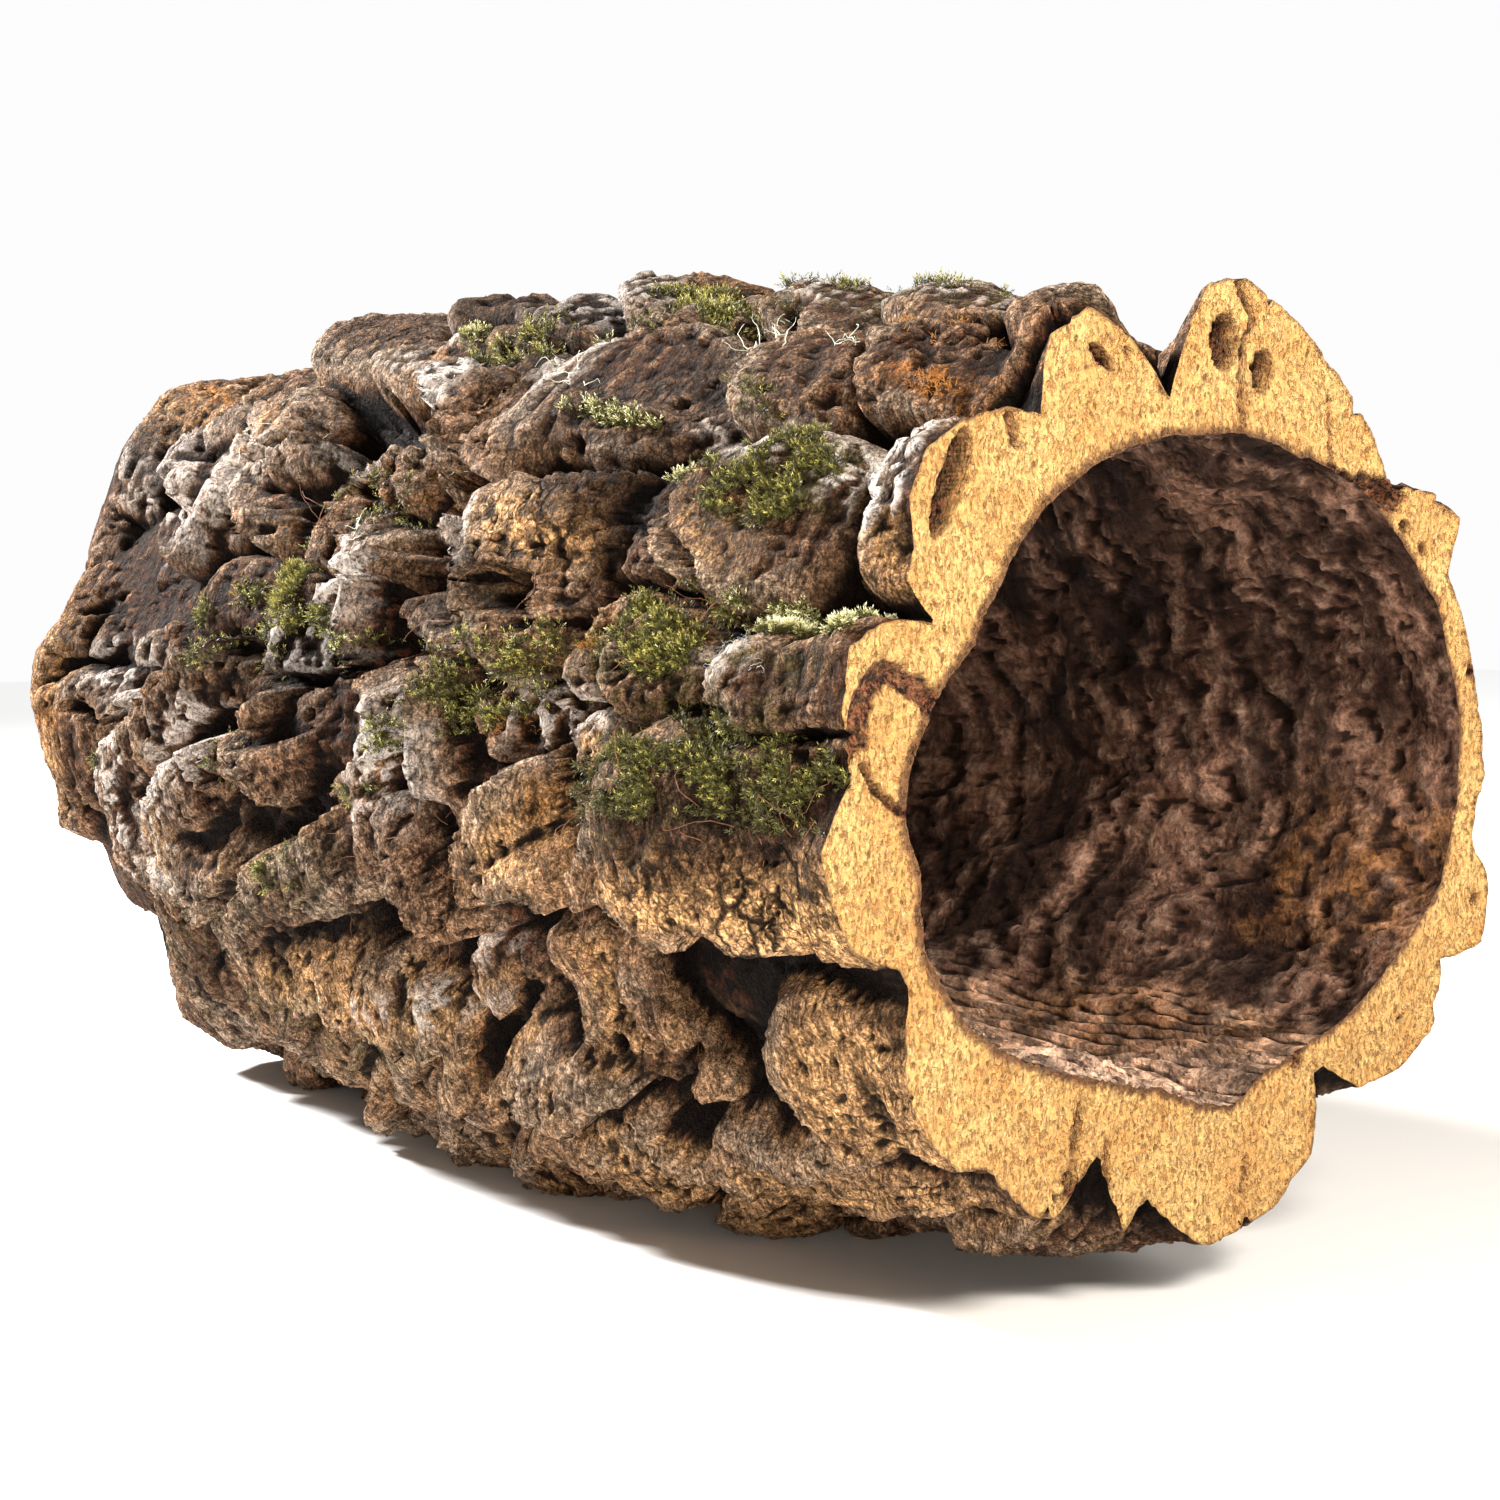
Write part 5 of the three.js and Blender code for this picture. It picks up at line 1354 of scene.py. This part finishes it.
def shoots(points, normals, height, light, chance):
    """Leafy shoots: corners of the leaves, four to a leaf, and two values per corner: how near it is
    to the tip, and how light the shoot is."""
    count = len(points)
    stem = unit(normals + 0.3 * np.array([0, 0, 1.0]) + 0.75 * chance.normal(size=(count, 3)))
    tall = height * chance.uniform(0.45, 1.0, (count, 1))
    aside = unit(np.cross(stem, chance.normal(size=(count, 3))))
    other = np.cross(stem, aside)
    leaf = np.arange(LEAVES)
    share = (leaf + 0.6) / LEAVES
    turn = (leaf * GOLDEN_TURN + chance.uniform(0, 6.3, (count, 1)))[..., None]
    spread = (np.radians(74 - 52 * share) + chance.normal(0, 0.12, (count, LEAVES)))[..., None]
    share = share[None, :, None]
    stem = stem[:, None]
    outward = aside[:, None] * np.cos(turn) + other[:, None] * np.sin(turn)
    length = (1.25 - 0.6 * share) * chance.uniform(0.75, 1.25, (count, LEAVES, 1))
    direction = (stem * np.cos(spread) + outward * np.sin(spread)) * length
    half_width = np.cross(outward, stem) * length * 0.15
    root = points[:, None] + stem * (share * tall[:, None] - 0.3)
    belly = root + direction * 0.4
    point = root + direction + stem * length * 0.12
    corners = np.stack([root, belly + half_width, point, belly - half_width], axis=2)
    tip = np.clip(0.65 * share + 0.35 * np.array([0.0, 0.4, 1.0, 0.4]), 0, 1)
    tip = tip * np.clip(tall / height, 0.5, 1)[..., None]
    tone = light + chance.normal(0, 0.36, (count, 1, 1)) + np.zeros_like(tip)
    return corners.reshape(-1, 3), tip.ravel(), tone.ravel()


def make_moss(name, parts, material, *nodes):
    corners, tip, tone = (np.concatenate(values) for values in zip(*parts))
    leaves = np.arange(len(corners)).reshape(-1, 4)
    add_piece(name, mesh_of(name, corners, leaves, {"tip": tip, "tone": tone}), material, "moss", *nodes)


def tubes(paths, radius, sides=4):
    """Thin round threads along the paths, given as threads by points by xyz."""
    ahead = unit(np.gradient(paths, axis=1))
    aside = unit(np.cross(ahead, np.array([0.31, 0.57, 0.76])))
    other = np.cross(ahead, aside)
    turn = (2 * math.pi * np.arange(sides) / sides)[:, None]
    taper = radius * (1 - 0.7 * np.linspace(0, 1, paths.shape[1]))[:, None, None]
    ring = aside[:, :, None] * np.cos(turn) + other[:, :, None] * np.sin(turn)
    points = paths[:, :, None] + ring * taper
    here = np.arange(points.size // 3).reshape(points.shape[:3])
    beside = np.roll(here, -1, axis=2)
    faces = np.stack([here[:, :-1], beside[:, :-1], beside[:, 1:], here[:, 1:]], axis=-1)
    return points.reshape(-1, 3), faces.reshape(-1, 4)


def threads_from(points, normals, length, steps, curl, lift, chance):
    """Paths of loose threads that wander over the bark from their roots."""
    heading = unit(np.cross(normals, chance.normal(size=points.shape)))
    path = [points + 0.3 * normals]
    for _ in range(steps - 1):
        heading = unit(heading + curl * chance.normal(size=points.shape))
        path.append(path[-1] + (heading + lift * normals) * length / steps)
    return np.stack(path, axis=1)


def grow(skin):
    moss = moss_finish()
    chance = np.random.default_rng(97)
    for node, *site, count, height, light in CUSHIONS:
        points, normals = spots(skin, site, count, 0.9, chance)
        make_moss(node + "_shoots", [shoots(points, normals, height, light, chance)], moss, node)
    loose = []
    for *site, count, light in SPRIGS:
        points, normals = spots(skin, site, count, 1.6, chance)
        loose.append(shoots(points, normals, SPRIG_HEIGHT, light, chance))
    make_moss("moss_sprigs", loose, moss)
    for name, colour, roughness, radius, length, steps, curl, lift, sites in THREADS:
        paths = []
        for *site, count in sites:
            points, normals = spots(skin, site, count, 0.5, chance)
            paths.append(threads_from(points, normals, length, steps, curl, lift, chance))
        points, faces = tubes(np.concatenate(paths), radius)
        add_piece(name, mesh_of(name, points, faces), fibre_finish(name, colour, roughness), "moss")


def make_camera():
    """Camera at the photograph's viewing angle."""
    data = bpy.data.cameras.new("photo_camera")
    data.sensor_fit = "HORIZONTAL"
    data.sensor_width = SENSOR_WIDTH
    data.lens = SENSOR_WIDTH * (FOCAL_LENGTH_PX / PHOTO_WIDTH_PX)
    camera = bpy.data.objects.new("photo_camera", data)
    bpy.context.collection.objects.link(camera)
    yaw = math.radians(CAMERA_YAW)
    pitch = math.radians(CAMERA_PITCH)
    forward = Vector((math.sin(yaw) * math.cos(pitch), math.cos(yaw) * math.cos(pitch), -math.sin(pitch)))
    right = Vector((math.cos(yaw), -math.sin(yaw), 0))
    turn = Matrix((right, right.cross(forward), -forward)).transposed()
    camera.matrix_world = Matrix.Translation(Vector(CAMERA_PLACE) * MM) @ turn.to_4x4()
    bpy.context.scene.camera = camera


def make_floor():
    """Plain pale floor that shines more with the distance, so that it ends in the backdrop."""
    mesh = bpy.data.meshes.new("floor")
    half = FLOOR_WIDTH / 2
    corners = [(-half, -half, 0), (half, -half, 0), (half, half, 0), (-half, half, 0)]
    mesh.from_pydata(corners, [], [(0, 1, 2, 3)])
    floor = bpy.data.objects.new("floor", mesh)
    bpy.context.collection.objects.link(floor)
    material = bpy.data.materials.new("floor")
    material.use_nodes = True
    tree = material.node_tree
    place = add_node(tree, "TexCoord", {})
    far = add_node(tree, "VectorMath", {0: place.outputs["Object"]}, operation="LENGTH")
    shine = {"Value": far.outputs["Value"], "From Min": 0.35, "From Max": 1.3, "To Max": 0.75}
    fade = add_node(tree, "MapRange", shine, interpolation_type="SMOOTHSTEP")
    look = {"Base Color": FLOOR_COLOUR, "Roughness": 0.8, "Emission Color": (1, 1, 1),
            "Emission Strength": fade.outputs["Result"]}
    for name, value in look.items():
        put(tree, tree.nodes["Principled BSDF"].inputs[name], value)
    mesh.materials.append(material)


def area_light(name, place_mm, target_mm, size_mm, power, colour):
    data = bpy.data.lights.new(name, "AREA")
    data.size = size_mm * MM
    data.energy = power
    data.color = colour
    light = bpy.data.objects.new(name, data)
    bpy.context.collection.objects.link(light)
    light.location = Vector(place_mm) * MM
    light.rotation_euler = (Vector(target_mm) - Vector(place_mm)).to_track_quat("-Z", "Y").to_euler()


def make_world():
    """Soft light from all around, and a pale backdrop that only the camera sees."""
    world = bpy.data.worlds.new("studio")
    world.use_nodes = True
    tree = world.node_tree
    soft = tree.nodes["Background"]
    put(tree, soft.inputs["Color"], (1, 1, 1))
    put(tree, soft.inputs["Strength"], SOFT_LIGHT)
    backdrop = add_node(tree, "Background", {"Color": BACKDROP_COLOUR})
    seen = add_node(tree, "LightPath", {}).outputs["Is Camera Ray"]
    shaders = {0: seen, 1: soft.outputs["Background"], 2: backdrop.outputs["Background"]}
    either = add_node(tree, "MixShader", shaders)
    put(tree, tree.nodes["World Output"].inputs["Surface"], either.outputs["Shader"])
    bpy.context.scene.world = world
    bpy.context.scene.view_settings.view_transform = "Standard"


skin = Skin()
make_outside(skin)
inside_points = make_inside(skin)
make_face("sawn_face_front", inside_points[:1], skin.points[:1], ROWS_ON_FACE,
          face_finish("cork_sawn_front", (1.0, 1.0, 1.0)), True)
make_face("sawn_face_rear", inside_points[-1:], skin.points[-1:], ROWS_ON_REAR,
          face_finish("cork_sawn_rear", (0.5, 0.44, 0.40)), False)
grow(skin)
make_camera()
make_floor()
area_light("rear_rim", (-460, 900, 800), (0, 40, 110), 200, 80, (1, 0.98, 0.96))
area_light("front_key", (420, -1000, 620), (0, -120, 80), 400, 7, (1, 0.95, 0.88))
area_light("inner_fill", (-60, -760, 560), (0, -130, 45), 200, 8, (1, 0.93, 0.84))
area_light("low_fill", (-760, -1150, 40), (-60, -60, 50), 500, 14, (1, 0.88, 0.74))
make_world()
